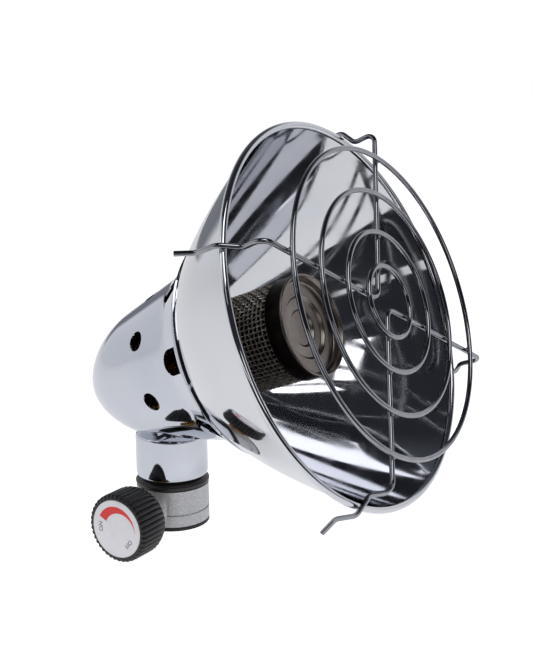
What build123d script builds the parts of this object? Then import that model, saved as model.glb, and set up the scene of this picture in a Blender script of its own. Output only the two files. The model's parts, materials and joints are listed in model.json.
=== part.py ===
from build123d import *
from math import atan2, cos, radians, sin, tan
import os

# Screw-on camping radiant heater, in millimetres.
# +Z is up and the origin is the centre of the cartridge socket, in the valve's bottom face.
# The reflector opens towards -Y and is tilted up, and the regulator knob points to -X.
# Depth is measured along the head's axis, backwards from the plane of the bowl's rim.

# Head: where the bowl's rim stands over the valve, and how far it is tilted up
head_tilt = 20.6
rim_forward = 87.4
rim_height = 100.5

# Reflector bowl: a paraboloid of spun sheet with a rolled bead
rim_radius = 75.0
bowl_focus = 18.1
bowl_wall = 0.8
bowl_floor_radius = 24.0
bead_radius = 1.4

# Rear housing: lip on the bowl, flared front, straight cone and rounded nose
housing_wall = 0.6
lip_front_depth = 47.8
lip_width = 3.0
seat_radius = 45.7
flare_half_angle = 31.0
flare_bend = 3.5
cone_depth = 62.0
cone_radius = 37.4
cone_half_angle = 13.2
nose_start_depth = 99.0
nose_break_depth = 126.0
nose_break_radius = 13.6

# Air holes and slots in the housing
vent_count = 8
vent_radius = 4.1
vent_depth = 81.4
vent_first_angle = 152.5
slot_width = 10.4
slot_front_depth = 52.7
slot_rear_depth = 64.6
slot_first_angle = 175.5

# Valve body and what seals it
valve_radius = 15.6
valve_height = 17.4
groove_height = 7.1
groove_width = 0.9
groove_drop = 0.45
base_seal_thickness = 1.8
boss_radius = 8.7
socket_radius = 5.15
socket_thread_length = 8.0
socket_relief_radius = 4.6
socket_depth = 11.0
pin_radius = 1.0
pin_length = 2.6
oring_section = 0.9
washer_thickness = 3.3
washer_radius = 15.9
washer_top_radius = 13.3
washer_edge_height = 1.5

# Outlet spigot, cup and clamping
spigot_radius = 5.0
spigot_bore = 2.5
cup_radius = 15.45
cup_wall = 1.2
cup_foot_radius = 13.0
cup_foot_height = 2.7
cup_shoulder_height = 18.4
cup_top_radius = 12.6
cup_top_height = 22.6
saddle_radius = 9.0
saddle_height = 2.6
clamp_nut_flats = 15.0
clamp_nut_height = 5.0

# Jet and mixing tube
jet_flats = 6.0
jet_hex_height = 2.5
jet_nose_height = 2.5
jet_nose_taper = 20
jet_thread_length = 4.0
jet_orifice = 0.35
filter_height = 2.5
tube_radius = 6.5
tube_wall = 0.9
tube_bend = 11.0
bell_radius = 9.0
bell_wall = 1.4
bell_height = 7.0
air_port_radius = 1.8
air_port_count = 4
air_port_first_angle = 45
tube_flange_radius = 11.0
tube_flange_thickness = 2.0

# Burner
burner_front_depth = 17.2
burner_radius = 20.2
mesh_wall = 0.6
collar_wall = 0.45
collar_length = 7.0
cap_lip_overhang = 0.7
cap_wall = 0.6
cap_recess = 4.0
cap_face_inset = 1.4
cap_steps = ((12.4, 1.3), (7.2, 1.1))
cap_skirt = 5.5
base_plate = 0.8
base_lip = 4.0
screen_gap = 2.2
screen_wall = 0.5
screen_hole_radius = 1.4
screen_rows = 6
screen_columns = 16
neck_nut_flats = 18.0
neck_nut_height = 3.0

# Wire guard
wire_radius = 1.0
guard_angle = -29.5
guard_forward = 15.8
guard_ring_radii = (59.6, 43.3, 27.1, 13.8)
upper_corner = (-4.7, -0.6)
upper_ends = (-2.3, -2.5)
lower_corner = (0.9, -1.9)
lower_ends = (-0.2, -0.3)
corner_bend = 5.0
clip_bend = 4.0
clip_inset = 2.2
clip_waist_height = 6.4
clip_waist_drop = 1.0
clip_jog_width = 5.8
clip_jog_end = -0.2
clip_grip_length = 8.8
clip_grip_width = 5.6
clip_length = 15.0
clip_flare = 9.9

# Regulator: gland nut, spindle, needle and knob, all on one axis
knob_height = 8.3
gland_boss_radius = 6.3
gland_boss_reach = 16.2
gland_flats = 12.0
gland_length = 3.6
gland_neck_radius = 5.0
gland_neck_length = 2.4
gland_thread_radius = 4.9
gland_thread_length = 5.2
spindle_radius = 2.5
spindle_collar_radius = 3.2
spindle_collar_length = 1.2
spindle_flat_depth = 0.6
seat_bore = 1.2
seat_distance = 6.6
seat_land = 2.2
chamber_bore = 1.9
chamber_length = 3.0
passage_radius = 1.0
flow_height = 14.5
needle_radius = 1.0
needle_tip_radius = 0.4
needle_tip_length = 1.2
needle_length = 10.0
needle_travel = 0.5
stem_oring_section = 0.65
knob_radius = 14.6
knob_rear_radius = 13.2
knob_length = 16.0
knob_face_distance = 38.7
knob_web = 4.9
knob_skirt_wall = 2.2
knob_hub_radius = 5.2
knob_rear_slope = 3.5
knob_front_chamfer = 0.7
rib_count = 40
rib_radius = 0.62
dial_thickness = 0.8
dial_radius = 12.25
screw_head_radius = 2.9
screw_head_height = 2.0
screw_radius = 1.5
screw_length = 9.0

# Clearances
touch_gap = 0.05
seat_gap = 0.15
running_gap = 0.05

os.makedirs("parts", exist_ok=True)

# Directions of the head: forward along its axis, to the side, and up across it
tilt = radians(head_tilt)
forward = Vector(0, -cos(tilt), sin(tilt))
sideways = Vector(1, 0, 0)
upwards = Vector(0, sin(tilt), cos(tilt))
rim_centre = Vector(0, -rim_forward, rim_height)
head_axis = Axis(rim_centre, forward)
vertex_depth = rim_radius**2 / (4 * bowl_focus)
floor_depth = vertex_depth - bowl_floor_radius**2 / (4 * bowl_focus)


def radial(angle):
    """Unit vector square to the head's axis, at an angle from +X towards the top."""
    return sideways * cos(radians(angle)) + upwards * sin(radians(angle))


def profile_plane(angle=0.0):
    """Plane through the head's axis: x is the radius at this angle, y is forward."""
    return Plane(origin=rim_centre, x_dir=radial(angle), z_dir=radial(angle).cross(forward))


def facing_plane(angle, depth):
    """Plane on the head's axis that looks outwards at this angle, with y forward."""
    return Plane(
        origin=rim_centre - forward * depth,
        x_dir=forward.cross(radial(angle)),
        z_dir=radial(angle),
    )


def head_plane(depth):
    """Plane square to the head's axis at this depth, looking forward."""
    return Plane(origin=rim_centre - forward * depth, x_dir=sideways, z_dir=forward)


def finish(part, label):
    """Names a finished piece and writes it."""
    part.label = label
    export_step(part, f"parts/{label}.step")
    print(label, len(part.solids()), round(part.volume, 1))


# Outlines of the bowl and the housing, which their neighbours are cut to


def bowl_depth(radius):
    return vertex_depth - radius**2 / (4 * bowl_focus)


def bowl_slope(radius):
    """Angle between the bowl's surface and the head's axis."""
    return atan2(2 * bowl_focus, radius)


def bowl_solid(grow):
    """Paraboloid closed to its axis; grow moves its surface outwards, or inwards below 0."""
    rim_lean = bowl_slope(rim_radius)
    floor_lean = bowl_slope(bowl_floor_radius)
    rim_x = rim_radius + grow * cos(rim_lean)
    rim_y = -grow * sin(rim_lean)
    floor_x = bowl_floor_radius + grow * (1 - sin(floor_lean)) / cos(floor_lean)
    floor_y = -floor_depth - grow
    slope_rim = 1 / tan(rim_lean)
    slope_floor = 1 / tan(floor_lean)
    bend_x = (rim_y - floor_y + slope_floor * floor_x - slope_rim * rim_x) / (slope_floor - slope_rim)
    bend_y = rim_y + slope_rim * (bend_x - rim_x)
    with BuildPart() as solid:
        with BuildSketch(profile_plane()):
            with BuildLine():
                wall = Bezier((rim_x, rim_y), (bend_x, bend_y), (floor_x, floor_y))
                Polyline(wall @ 1, (0, floor_y), (0, rim_y), wall @ 0)
            make_face()
        revolve(axis=head_axis)
    return solid.part


cone_lean = radians(cone_half_angle)
flare_lean = radians(flare_half_angle)
seat_depth = bowl_depth(seat_radius)


def cone_radius_at(depth):
    return cone_radius - (depth - cone_depth) * tan(cone_lean)


def flare_radius_at(depth):
    return seat_radius - (depth - seat_depth) * tan(flare_lean)


corner_depth = (flare_radius_at(0) - cone_radius_at(0)) / (tan(flare_lean) - tan(cone_lean))
bend_front = corner_depth - flare_bend * cos(flare_lean)
bend_rear = corner_depth + flare_bend * cos(cone_lean)
nose_start_radius = cone_radius_at(nose_start_depth)


def arc_end_lean(start_lean, radius_change, depth_change):
    """Lean of a tangent arc at its far end, from the lean at its start and its chord."""
    return 2 * atan2(radius_change, depth_change) - start_lean


nose_lean = arc_end_lean(
    cone_lean, nose_start_radius - nose_break_radius, nose_break_depth - nose_start_depth
)
tip_radius = nose_break_radius / cos(nose_lean)
tip_depth = nose_break_depth + tip_radius * (1 - sin(nose_lean))


def housing_solid(grow):
    """Housing closed to its axis; grow moves its surface outwards, or inwards below 0."""

    def moved(radius, depth, lean):
        return (radius + grow * cos(lean), -depth - grow * sin(lean))

    seat = moved(seat_radius, seat_depth, flare_lean)
    flare_end = moved(flare_radius_at(bend_front), bend_front, flare_lean)
    cone_start = moved(cone_radius_at(bend_rear), bend_rear, cone_lean)
    nose_start = moved(nose_start_radius, nose_start_depth, cone_lean)
    nose_break = moved(nose_break_radius, nose_break_depth, nose_lean)
    tip = (0, -tip_depth - grow)
    with BuildPart() as solid:
        with BuildSketch(profile_plane()):
            with BuildLine():
                flare = Line(flare_end, seat)
                TangentArc(cone_start, flare_end, tangent=(sin(cone_lean), cos(cone_lean)))
                Line(cone_start, nose_start)
                TangentArc(nose_start, nose_break, tangent=(-sin(cone_lean), -cos(cone_lean)))
                TangentArc(nose_break, tip, tangent=(-sin(nose_lean), -cos(nose_lean)))
                Polyline(tip, (0, seat[1]), flare @ 1)
            make_face()
        revolve(axis=head_axis)
    return solid.part


bowl_outside = bowl_solid(0)
bowl_seat = bowl_solid(seat_gap)
housing_outside = housing_solid(0)
housing_inside = housing_solid(-housing_wall)

# Reflector bowl

with BuildPart() as reflector_bowl:
    add(bowl_outside)
    add(bowl_solid(-bowl_wall), mode=Mode.SUBTRACT)
    with BuildSketch(profile_plane()):
        with Locations((rim_radius, 0)):
            Circle(bead_radius)
    revolve(axis=head_axis)
    with BuildSketch(head_plane(floor_depth)):
        Circle(tube_radius + touch_gap)
    extrude(amount=bowl_wall * 2, both=True, mode=Mode.SUBTRACT)
finish(reflector_bowl.part, "reflector_bowl")

# Rear housing with its air holes, slots and the hole for the outlet spigot

cup_base = valve_height + washer_thickness
slot_turn = 360 / vent_count

with BuildPart() as housing_lip:
    with BuildSketch(head_plane(lip_front_depth + lip_width)):
        Circle(rim_radius)
    extrude(amount=lip_width)
    add(bowl_solid(seat_gap + housing_wall), mode=Mode.INTERSECT)

with BuildPart() as rear_housing:
    add(housing_outside)
    add(housing_inside, mode=Mode.SUBTRACT)
    add(housing_lip.part)
    add(bowl_seat, mode=Mode.SUBTRACT)
    for index in range(vent_count):
        with BuildSketch(facing_plane(vent_first_angle + index * slot_turn, vent_depth)):
            Circle(vent_radius)
        extrude(amount=seat_radius, mode=Mode.SUBTRACT)
    for index in range(vent_count):
        round_centre = slot_rear_depth - slot_width / 2
        with BuildSketch(facing_plane(slot_first_angle + index * slot_turn, round_centre)):
            Circle(slot_width / 2)
            with Locations((0, (round_centre - slot_front_depth) / 2)):
                Rectangle(slot_width, round_centre - slot_front_depth)
        extrude(amount=seat_radius, mode=Mode.SUBTRACT)
    with BuildSketch(Plane.XY):
        Circle(spigot_radius + touch_gap)
    extrude(amount=rim_height / 2, mode=Mode.SUBTRACT)
finish(rear_housing.part, "rear_housing")

# Cup, whose top is cut to the housing's underside

with BuildPart() as mounting_cup:
    with BuildSketch(Plane.XZ):
        with BuildLine():
            foot = Line((0, cup_base), (cup_foot_radius, cup_base))
            rounding = TangentArc(foot @ 1, (cup_radius, cup_base + cup_foot_height), tangent=(1, 0))
            shoulder = Polyline(
                rounding @ 1,
                (cup_radius, cup_base + cup_shoulder_height),
                (cup_top_radius, cup_base + cup_top_height),
                (0, cup_base + cup_top_height),
            )
            Line(shoulder @ 1, foot @ 0)
        make_face()
    revolve(axis=Axis.Z)
    with BuildSketch(Plane.XY.offset(cup_base + cup_wall)):
        Circle(cup_foot_radius - cup_wall / 2)
    extrude(amount=cup_foot_height, mode=Mode.SUBTRACT)
    with BuildSketch(Plane.XY.offset(cup_base + cup_wall + cup_foot_height)):
        Circle(cup_radius - cup_wall)
    extrude(
        amount=cup_shoulder_height - cup_foot_height - cup_wall,
        mode=Mode.SUBTRACT,
    )
    with BuildSketch(Plane.XY.offset(cup_base + cup_shoulder_height)):
        Circle(cup_top_radius - cup_wall)
    extrude(amount=cup_top_height, mode=Mode.SUBTRACT)
    with BuildSketch(Plane.XY):
        Circle(spigot_radius + touch_gap)
    extrude(amount=rim_height, mode=Mode.SUBTRACT)
    add(housing_solid(touch_gap), mode=Mode.SUBTRACT)
finish(mounting_cup.part, "mounting_cup")

# Heights above the cup, worked out from the housing's underside on the valve's axis


def wall_height(solid):
    """Height at which the valve's axis enters the solid from below."""
    return min(point.Z for point, normal in solid.find_intersection_points(Axis.Z))


saddle_top = wall_height(housing_inside) + saddle_height
bell_base = saddle_top + clamp_nut_height
spigot_top = bell_base + bell_wall + seat_gap
bell_top = spigot_top + bell_height

# Valve body: socket below, spigot above, and the regulator's bores from the -X side

regulator_axis = Axis((0, 0, knob_height), (-1, 0, 0))
regulator_profile = Plane(origin=(0, 0, knob_height), x_dir=(0, 0, 1), z_dir=(0, -1, 0))


def regulator_plane(distance):
    """Plane square to the regulator's axis at this distance from the valve's axis."""
    return Plane(origin=(-distance, 0, knob_height), x_dir=(0, -1, 0), z_dir=(-1, 0, 0))


riser_distance = seat_distance + chamber_length / 2
gland_start = gland_boss_reach - gland_thread_length
collar_start = gland_start - spindle_collar_length - touch_gap

with BuildPart() as valve_body:
    with BuildSketch(Plane.XY):
        Circle(boss_radius)
    extrude(amount=base_seal_thickness)
    with BuildSketch(Plane.XY.offset(base_seal_thickness)):
        Circle(valve_radius)
    extrude(amount=valve_height - base_seal_thickness)
    with BuildSketch(regulator_plane(0)):
        Circle(gland_boss_radius)
    extrude(amount=gland_boss_reach)
    with BuildSketch(Plane.XY):
        Circle(spigot_radius)
    extrude(amount=spigot_top)
    with BuildSketch(Plane.XY.offset(groove_height - groove_width / 2)):
        Circle(valve_radius + gland_boss_reach)
        Circle(valve_radius - groove_drop, mode=Mode.SUBTRACT)
        with Locations((-valve_radius, 0)):
            Circle(gland_boss_radius + groove_width, mode=Mode.SUBTRACT)
    extrude(amount=groove_width, mode=Mode.SUBTRACT)
    with BuildSketch(Plane.XY):
        Circle(socket_radius)
    extrude(amount=socket_thread_length, mode=Mode.SUBTRACT)
    with BuildSketch(Plane.XY):
        Circle(socket_relief_radius)
    extrude(amount=socket_depth, mode=Mode.SUBTRACT)
    with BuildSketch(Plane.XY.offset(flow_height - passage_radius)):
        Circle(spigot_bore)
    extrude(amount=spigot_top, mode=Mode.SUBTRACT)
    with BuildSketch(regulator_plane(0).offset(collar_start - touch_gap)):
        Circle(gland_thread_radius + touch_gap)
    extrude(amount=gland_boss_reach, mode=Mode.SUBTRACT)
    with BuildSketch(regulator_plane(seat_distance)):
        Circle(chamber_bore)
    extrude(amount=collar_start - seat_distance, mode=Mode.SUBTRACT)
    with BuildSketch(regulator_plane(seat_distance - seat_land)):
        Circle(seat_bore)
    extrude(amount=seat_land, mode=Mode.SUBTRACT)
    with BuildSketch(Plane.XY.offset(knob_height)):
        with Locations((-riser_distance, 0)):
            Circle(passage_radius)
    extrude(amount=flow_height - knob_height, mode=Mode.SUBTRACT)
    with BuildSketch(Plane.YZ.offset(-riser_distance)):
        with Locations((0, flow_height)):
            Circle(passage_radius)
    extrude(amount=riser_distance, mode=Mode.SUBTRACT)
finish(valve_body.part, "valve_body")

# Seals and pin in and round the socket, and the washer under the cup

with BuildPart() as base_seal:
    with BuildSketch(Plane.XY):
        Circle(valve_radius)
        Circle(boss_radius + touch_gap, mode=Mode.SUBTRACT)
    extrude(amount=base_seal_thickness)
finish(base_seal.part, "base_seal")

with BuildPart() as depressor_pin:
    with BuildSketch(Plane.XY.offset(socket_depth - pin_length)):
        Circle(pin_radius)
    extrude(amount=pin_length)
finish(depressor_pin.part, "depressor_pin")

with BuildPart() as socket_oring:
    with BuildSketch(Plane.XZ):
        with Locations((socket_relief_radius - oring_section - touch_gap, socket_depth - oring_section)):
            Circle(oring_section)
    revolve(axis=Axis.Z)
finish(socket_oring.part, "socket_oring")

with BuildPart() as seal_washer:
    with BuildSketch(Plane.XZ):
        with BuildLine():
            rim = TangentArc(
                (washer_radius - washer_edge_height / 2, valve_height),
                (washer_radius, valve_height + washer_edge_height),
                tangent=(1, 0),
            )
            Polyline(
                rim @ 1,
                (washer_top_radius, cup_base),
                (spigot_radius + touch_gap, cup_base),
                (spigot_radius + touch_gap, valve_height),
                rim @ 0,
            )
        make_face()
    revolve(axis=Axis.Z)
finish(seal_washer.part, "seal_washer")

# Saddle washer and clamp nut inside the housing

with BuildPart() as saddle_washer:
    with BuildSketch(Plane.XY.offset(cup_base)):
        Circle(saddle_radius)
        Circle(spigot_radius + touch_gap, mode=Mode.SUBTRACT)
    extrude(amount=saddle_top - cup_base)
    add(housing_solid(-housing_wall - touch_gap), mode=Mode.INTERSECT)
finish(saddle_washer.part, "saddle_washer")

with BuildPart() as clamp_nut:
    with BuildSketch(Plane.XY.offset(saddle_top)):
        RegularPolygon(clamp_nut_flats / 2, 6, major_radius=False)
        Circle(spigot_radius + touch_gap, mode=Mode.SUBTRACT)
    extrude(amount=clamp_nut_height)
finish(clamp_nut.part, "clamp_nut")

# Jet and its filter on the spigot

with BuildPart() as gas_jet:
    with BuildSketch(Plane.XY.offset(spigot_top)):
        RegularPolygon(jet_flats / 2, 6, major_radius=False)
    extrude(amount=jet_hex_height)
    with BuildSketch(Plane.XY.offset(spigot_top + jet_hex_height)):
        Circle(jet_flats / 2)
    extrude(amount=jet_nose_height, taper=jet_nose_taper)
    with BuildSketch(Plane.XY.offset(spigot_top - jet_thread_length)):
        Circle(spigot_bore - touch_gap)
    extrude(amount=jet_thread_length)
    with BuildSketch(Plane.XY.offset(spigot_top - jet_thread_length)):
        Circle(spigot_bore / 2)
    extrude(amount=jet_thread_length + jet_hex_height, mode=Mode.SUBTRACT)
    with BuildSketch(Plane.XY.offset(spigot_top)):
        Circle(jet_orifice)
    extrude(amount=jet_hex_height + jet_nose_height, mode=Mode.SUBTRACT)
finish(gas_jet.part, "gas_jet")

with BuildPart() as jet_filter:
    with BuildSketch(Plane.XY.offset(spigot_top - jet_thread_length - filter_height)):
        Circle(spigot_bore - touch_gap)
    extrude(amount=filter_height)
finish(jet_filter.part, "jet_filter")

# Mixing tube: bell over the jet, elbow, flange behind the bowl and neck through it

floor_front = floor_depth - bowl_wall
plate_front = floor_front - base_plate
neck_end = plate_front - neck_nut_height - base_plate
corner = rim_centre - forward * (rim_forward / cos(tilt))
neck_tip = rim_centre - forward * neck_end

with BuildPart() as mixing_tube:
    with BuildLine() as route:
        FilletPolyline((0, 0, bell_top), corner, neck_tip, radius=tube_bend)
    with BuildSketch(Plane.XY.offset(bell_top)):
        Circle(tube_radius)
    sweep(path=route.wires()[0])
    with BuildSketch(Plane.XY.offset(bell_base)):
        Circle(bell_radius)
    extrude(amount=bell_top - bell_base + bell_wall)
    with BuildSketch(head_plane(floor_depth + tube_flange_thickness)):
        Circle(tube_flange_radius)
    extrude(amount=tube_flange_thickness)
    with BuildSketch(Plane.XY.offset(bell_base + bell_wall)):
        Circle(bell_radius - bell_wall)
    extrude(amount=bell_top - bell_base - bell_wall, mode=Mode.SUBTRACT)
    with BuildSketch(Plane.XY.offset(bell_base)):
        Circle(spigot_radius + touch_gap)
    extrude(amount=bell_wall, mode=Mode.SUBTRACT)
    with BuildSketch(Plane.XY.offset(bell_top)):
        Circle(tube_radius - tube_wall)
    sweep(path=route.wires()[0], mode=Mode.SUBTRACT)
    for index in range(air_port_count):
        port_angle = air_port_first_angle + index * 360 / air_port_count
        port_plane = Plane.XY.offset(spigot_top + bell_height / 2).rotated((0, 0, port_angle))
        with BuildSketch(Plane(port_plane.origin, x_dir=(0, 0, 1), z_dir=port_plane.x_dir)):
            Circle(air_port_radius)
        extrude(amount=bell_radius + bell_wall, mode=Mode.SUBTRACT)
finish(mixing_tube.part, "mixing_tube")

# Burner: base dish, nut, perforated screen, gauze, collar and cap

with BuildPart() as burner_base:
    with BuildSketch(head_plane(floor_front)):
        Circle(burner_radius + touch_gap + base_plate)
        Circle(tube_radius + touch_gap, mode=Mode.SUBTRACT)
    extrude(amount=base_plate)
    with BuildSketch(head_plane(plate_front)):
        Circle(burner_radius + touch_gap + base_plate)
        Circle(burner_radius + touch_gap, mode=Mode.SUBTRACT)
    extrude(amount=base_lip)
finish(burner_base.part, "burner_base")

with BuildPart() as neck_nut:
    with BuildSketch(head_plane(plate_front)):
        RegularPolygon(neck_nut_flats / 2, 6, major_radius=False)
        Circle(tube_radius + touch_gap, mode=Mode.SUBTRACT)
    extrude(amount=neck_nut_height)
finish(neck_nut.part, "neck_nut")

lip_back = burner_front_depth + 2 * cap_wall
face_depth = burner_front_depth + cap_recess
skirt_radius = burner_radius - mesh_wall - touch_gap
cap_lip_radius = burner_radius + cap_lip_overhang
cap_face_radius = burner_radius - cap_face_inset

with BuildPart() as burner_mesh:
    with BuildSketch(head_plane(plate_front)):
        Circle(burner_radius)
        Circle(burner_radius - mesh_wall, mode=Mode.SUBTRACT)
    extrude(amount=plate_front - lip_back)
finish(burner_mesh.part, "burner_mesh")

screen_radius = burner_radius - mesh_wall - screen_gap
screen_front = face_depth + cap_wall + touch_gap
screen_pitch = (plate_front - base_lip - screen_front) / screen_rows

with BuildPart() as burner_screen:
    with BuildSketch(head_plane(plate_front)):
        Circle(screen_radius)
        Circle(screen_radius - screen_wall, mode=Mode.SUBTRACT)
    extrude(amount=plate_front - screen_front)
    for row in range(screen_rows):
        for column in range(screen_columns // 2):
            hole_angle = (column + (row % 2) / 2) * 360 / screen_columns
            hole_depth = screen_front + (row + 0.5) * screen_pitch
            with BuildSketch(facing_plane(hole_angle, hole_depth)):
                Circle(screen_hole_radius)
            extrude(amount=burner_radius, both=True, mode=Mode.SUBTRACT)
finish(burner_screen.part, "burner_screen")

with BuildPart() as burner_collar:
    with BuildSketch(head_plane(lip_back + collar_length)):
        Circle(burner_radius + touch_gap + collar_wall)
        Circle(burner_radius + touch_gap, mode=Mode.SUBTRACT)
    extrude(amount=collar_length)
finish(burner_collar.part, "burner_collar")

with BuildPart() as burner_cap:
    front_line = [(0, face_depth + sum(drop for radius, drop in cap_steps))]
    level = face_depth
    for radius, drop in cap_steps:
        front_line.insert(1, (radius - drop / 4, level + drop))
        front_line.insert(2, (radius + drop / 4, level))
        level += drop
    front_line.append((cap_face_radius, face_depth))
    back_line = [(radius, depth + cap_wall) for radius, depth in front_line[:-1]]
    with BuildSketch(profile_plane()):
        with BuildLine():
            Polyline(*[(radius, -depth) for radius, depth in front_line])
            lip_start = (cap_lip_radius - cap_wall * 2, -burner_front_depth)
            wall = Line((cap_face_radius, -face_depth), lip_start)
            nose = Line(wall @ 1, (cap_lip_radius - cap_wall, -burner_front_depth))
            lip = TangentArc(nose @ 1, (cap_lip_radius, -burner_front_depth - cap_wall), tangent=(1, 0))
            Polyline(
                lip @ 1,
                (cap_lip_radius, -lip_back),
                (skirt_radius, -lip_back),
                (skirt_radius, -burner_front_depth - cap_skirt),
                (cap_face_radius - cap_wall, -burner_front_depth - cap_skirt),
                (cap_face_radius - cap_wall, -face_depth - cap_wall),
                *[(radius, -depth) for radius, depth in reversed(back_line)],
                (0, -front_line[0][1]),
            )
        make_face()
    revolve(axis=head_axis)
finish(burner_cap.part, "burner_cap")

# Wire guard: two L-shaped spoke wires and four rings


def guard_point(along, across, height):
    """Point in the guard's own directions, height in front of the rim's plane."""
    return (
        rim_centre
        + radial(guard_angle) * along
        + radial(guard_angle + 90) * across
        + forward * height
    )


clip_corner = rim_radius - clip_inset
clip_outline = (
    (clip_corner + clip_flare, -clip_length),
    (clip_corner + clip_grip_width, -clip_grip_length),
    (clip_corner + clip_jog_width, -clip_jog_end),
    (clip_corner - clip_waist_drop, clip_waist_height),
    (clip_corner, guard_forward),
)


def spoke_wire(label, side, bend, ends):
    """L-shaped wire with a clip at each end.

    side is -1 or 1, bend is its corner, and ends are the clips' distances from the guard's
    two centre lines.
    """
    across_arm = [guard_point(side * reach, ends[0], height) for reach, height in clip_outline]
    upward_arm = [guard_point(ends[1], -side * reach, height) for reach, height in clip_outline]
    centre = guard_point(bend[0], bend[1], guard_forward)
    bends = [clip_bend] * 4
    with BuildPart() as wire:
        with BuildLine() as route:
            FilletPolyline(
                *across_arm,
                centre,
                *reversed(upward_arm),
                radius=bends + [corner_bend] + bends,
            )
        start = route.wires()[0]
        with BuildSketch(Plane(origin=start @ 0, z_dir=start % 0)):
            Circle(wire_radius)
        sweep(path=start)
    finish(wire.part, label)


spoke_wire("guard_wire_upper", -1, upper_corner, upper_ends)
spoke_wire("guard_wire_lower", 1, lower_corner, lower_ends)

for index, ring_radius in enumerate(guard_ring_radii):
    with BuildPart() as guard_ring:
        with BuildSketch(profile_plane()):
            with Locations((ring_radius, guard_forward + 2 * wire_radius + touch_gap)):
                Circle(wire_radius)
        revolve(axis=head_axis)
    finish(guard_ring.part, f"guard_ring_{index + 1}")

# Gland nut and its seal

neck_start = gland_boss_reach + gland_length
groove_radius = spindle_radius + running_gap + 2 * stem_oring_section

with BuildPart() as gland_nut:
    with BuildSketch(regulator_plane(gland_start)):
        Circle(gland_thread_radius)
    extrude(amount=gland_thread_length)
    with BuildSketch(regulator_plane(gland_boss_reach)):
        RegularPolygon(gland_flats / 2, 6, major_radius=False)
    extrude(amount=gland_length)
    with BuildSketch(regulator_plane(neck_start)):
        Circle(gland_neck_radius)
    extrude(amount=gland_neck_length)
    with BuildSketch(regulator_plane(gland_start)):
        Circle(spindle_radius + running_gap)
    extrude(amount=gland_boss_reach, mode=Mode.SUBTRACT)
    with BuildSketch(regulator_plane(gland_start)):
        Circle(groove_radius + touch_gap)
    extrude(amount=2 * stem_oring_section + touch_gap, mode=Mode.SUBTRACT)
finish(gland_nut.part, "gland_nut")

with BuildPart() as spindle_oring:
    with BuildSketch(regulator_profile):
        with Locations((groove_radius - stem_oring_section, gland_start + stem_oring_section + touch_gap)):
            Circle(stem_oring_section)
    revolve(axis=regulator_axis)
finish(spindle_oring.part, "spindle_oring")

# Needle, spindle, knob, screw and dial

knob_rear = knob_face_distance - knob_length
dial_seat = knob_face_distance - dial_thickness
spindle_end = dial_seat - knob_web
needle_end = seat_distance + needle_tip_length + needle_length
flat_height = spindle_radius - spindle_flat_depth

with BuildPart() as needle:
    with BuildSketch(regulator_profile):
        with BuildLine():
            Polyline(
                (0, seat_distance + touch_gap),
                (needle_tip_radius, seat_distance + touch_gap),
                (needle_radius, seat_distance + needle_tip_length),
                (needle_radius, needle_end),
                (0, needle_end),
                close=True,
            )
        make_face()
    revolve(axis=regulator_axis)
finish(needle.part, "needle")

with BuildPart() as spindle:
    with BuildSketch(regulator_plane(collar_start)):
        Circle(spindle_collar_radius)
    extrude(amount=spindle_collar_length)
    with BuildSketch(regulator_plane(collar_start)):
        Circle(spindle_radius)
    extrude(amount=spindle_end - collar_start)
    with BuildSketch(regulator_plane(knob_rear)):
        with Locations((0, spindle_radius + flat_height)):
            Rectangle(4 * spindle_radius, 2 * spindle_radius)
    extrude(amount=knob_length, mode=Mode.SUBTRACT)
    with BuildSketch(regulator_plane(collar_start)):
        Circle(needle_radius + running_gap)
    extrude(amount=needle_end + 2 * needle_travel - collar_start, mode=Mode.SUBTRACT)
    with BuildSketch(regulator_plane(dial_seat - screw_head_height - screw_length)):
        Circle(screw_radius + touch_gap)
    extrude(amount=screw_length, mode=Mode.SUBTRACT)
finish(spindle.part, "spindle")

with BuildPart() as control_knob:
    with BuildSketch(regulator_plane(knob_rear)):
        Circle(knob_radius - rib_radius)
        with PolarLocations(knob_radius - rib_radius, rib_count):
            Circle(rib_radius)
    extrude(amount=knob_length)
    with BuildSketch(regulator_profile):
        with BuildLine():
            Polyline(
                (knob_rear_radius, knob_rear),
                (knob_radius, knob_rear + knob_rear_slope),
                (knob_radius, knob_face_distance - knob_front_chamfer),
                (knob_radius - knob_front_chamfer, knob_face_distance),
                (2 * knob_radius, knob_face_distance),
                (2 * knob_radius, knob_rear),
                close=True,
            )
        make_face()
    revolve(axis=regulator_axis, mode=Mode.SUBTRACT)
    with BuildSketch(regulator_plane(dial_seat)):
        Circle(dial_radius + touch_gap)
    extrude(amount=dial_thickness, mode=Mode.SUBTRACT)
    with BuildSketch(regulator_plane(knob_rear)):
        Circle(knob_rear_radius - knob_skirt_wall)
        Circle(knob_hub_radius, mode=Mode.SUBTRACT)
    extrude(amount=spindle_end - knob_rear, mode=Mode.SUBTRACT)
    with BuildSketch(regulator_plane(knob_rear)):
        Circle(spindle_radius + touch_gap)
        with Locations((0, spindle_radius + flat_height + touch_gap)):
            Rectangle(4 * spindle_radius, 2 * spindle_radius, mode=Mode.SUBTRACT)
    extrude(amount=spindle_end - knob_rear, mode=Mode.SUBTRACT)
    with BuildSketch(regulator_plane(spindle_end)):
        Circle(screw_radius + touch_gap)
    extrude(amount=knob_web, mode=Mode.SUBTRACT)
    with BuildSketch(regulator_plane(dial_seat - screw_head_height)):
        Circle(screw_head_radius + touch_gap)
    extrude(amount=screw_head_height, mode=Mode.SUBTRACT)
finish(control_knob.part, "control_knob")

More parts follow.
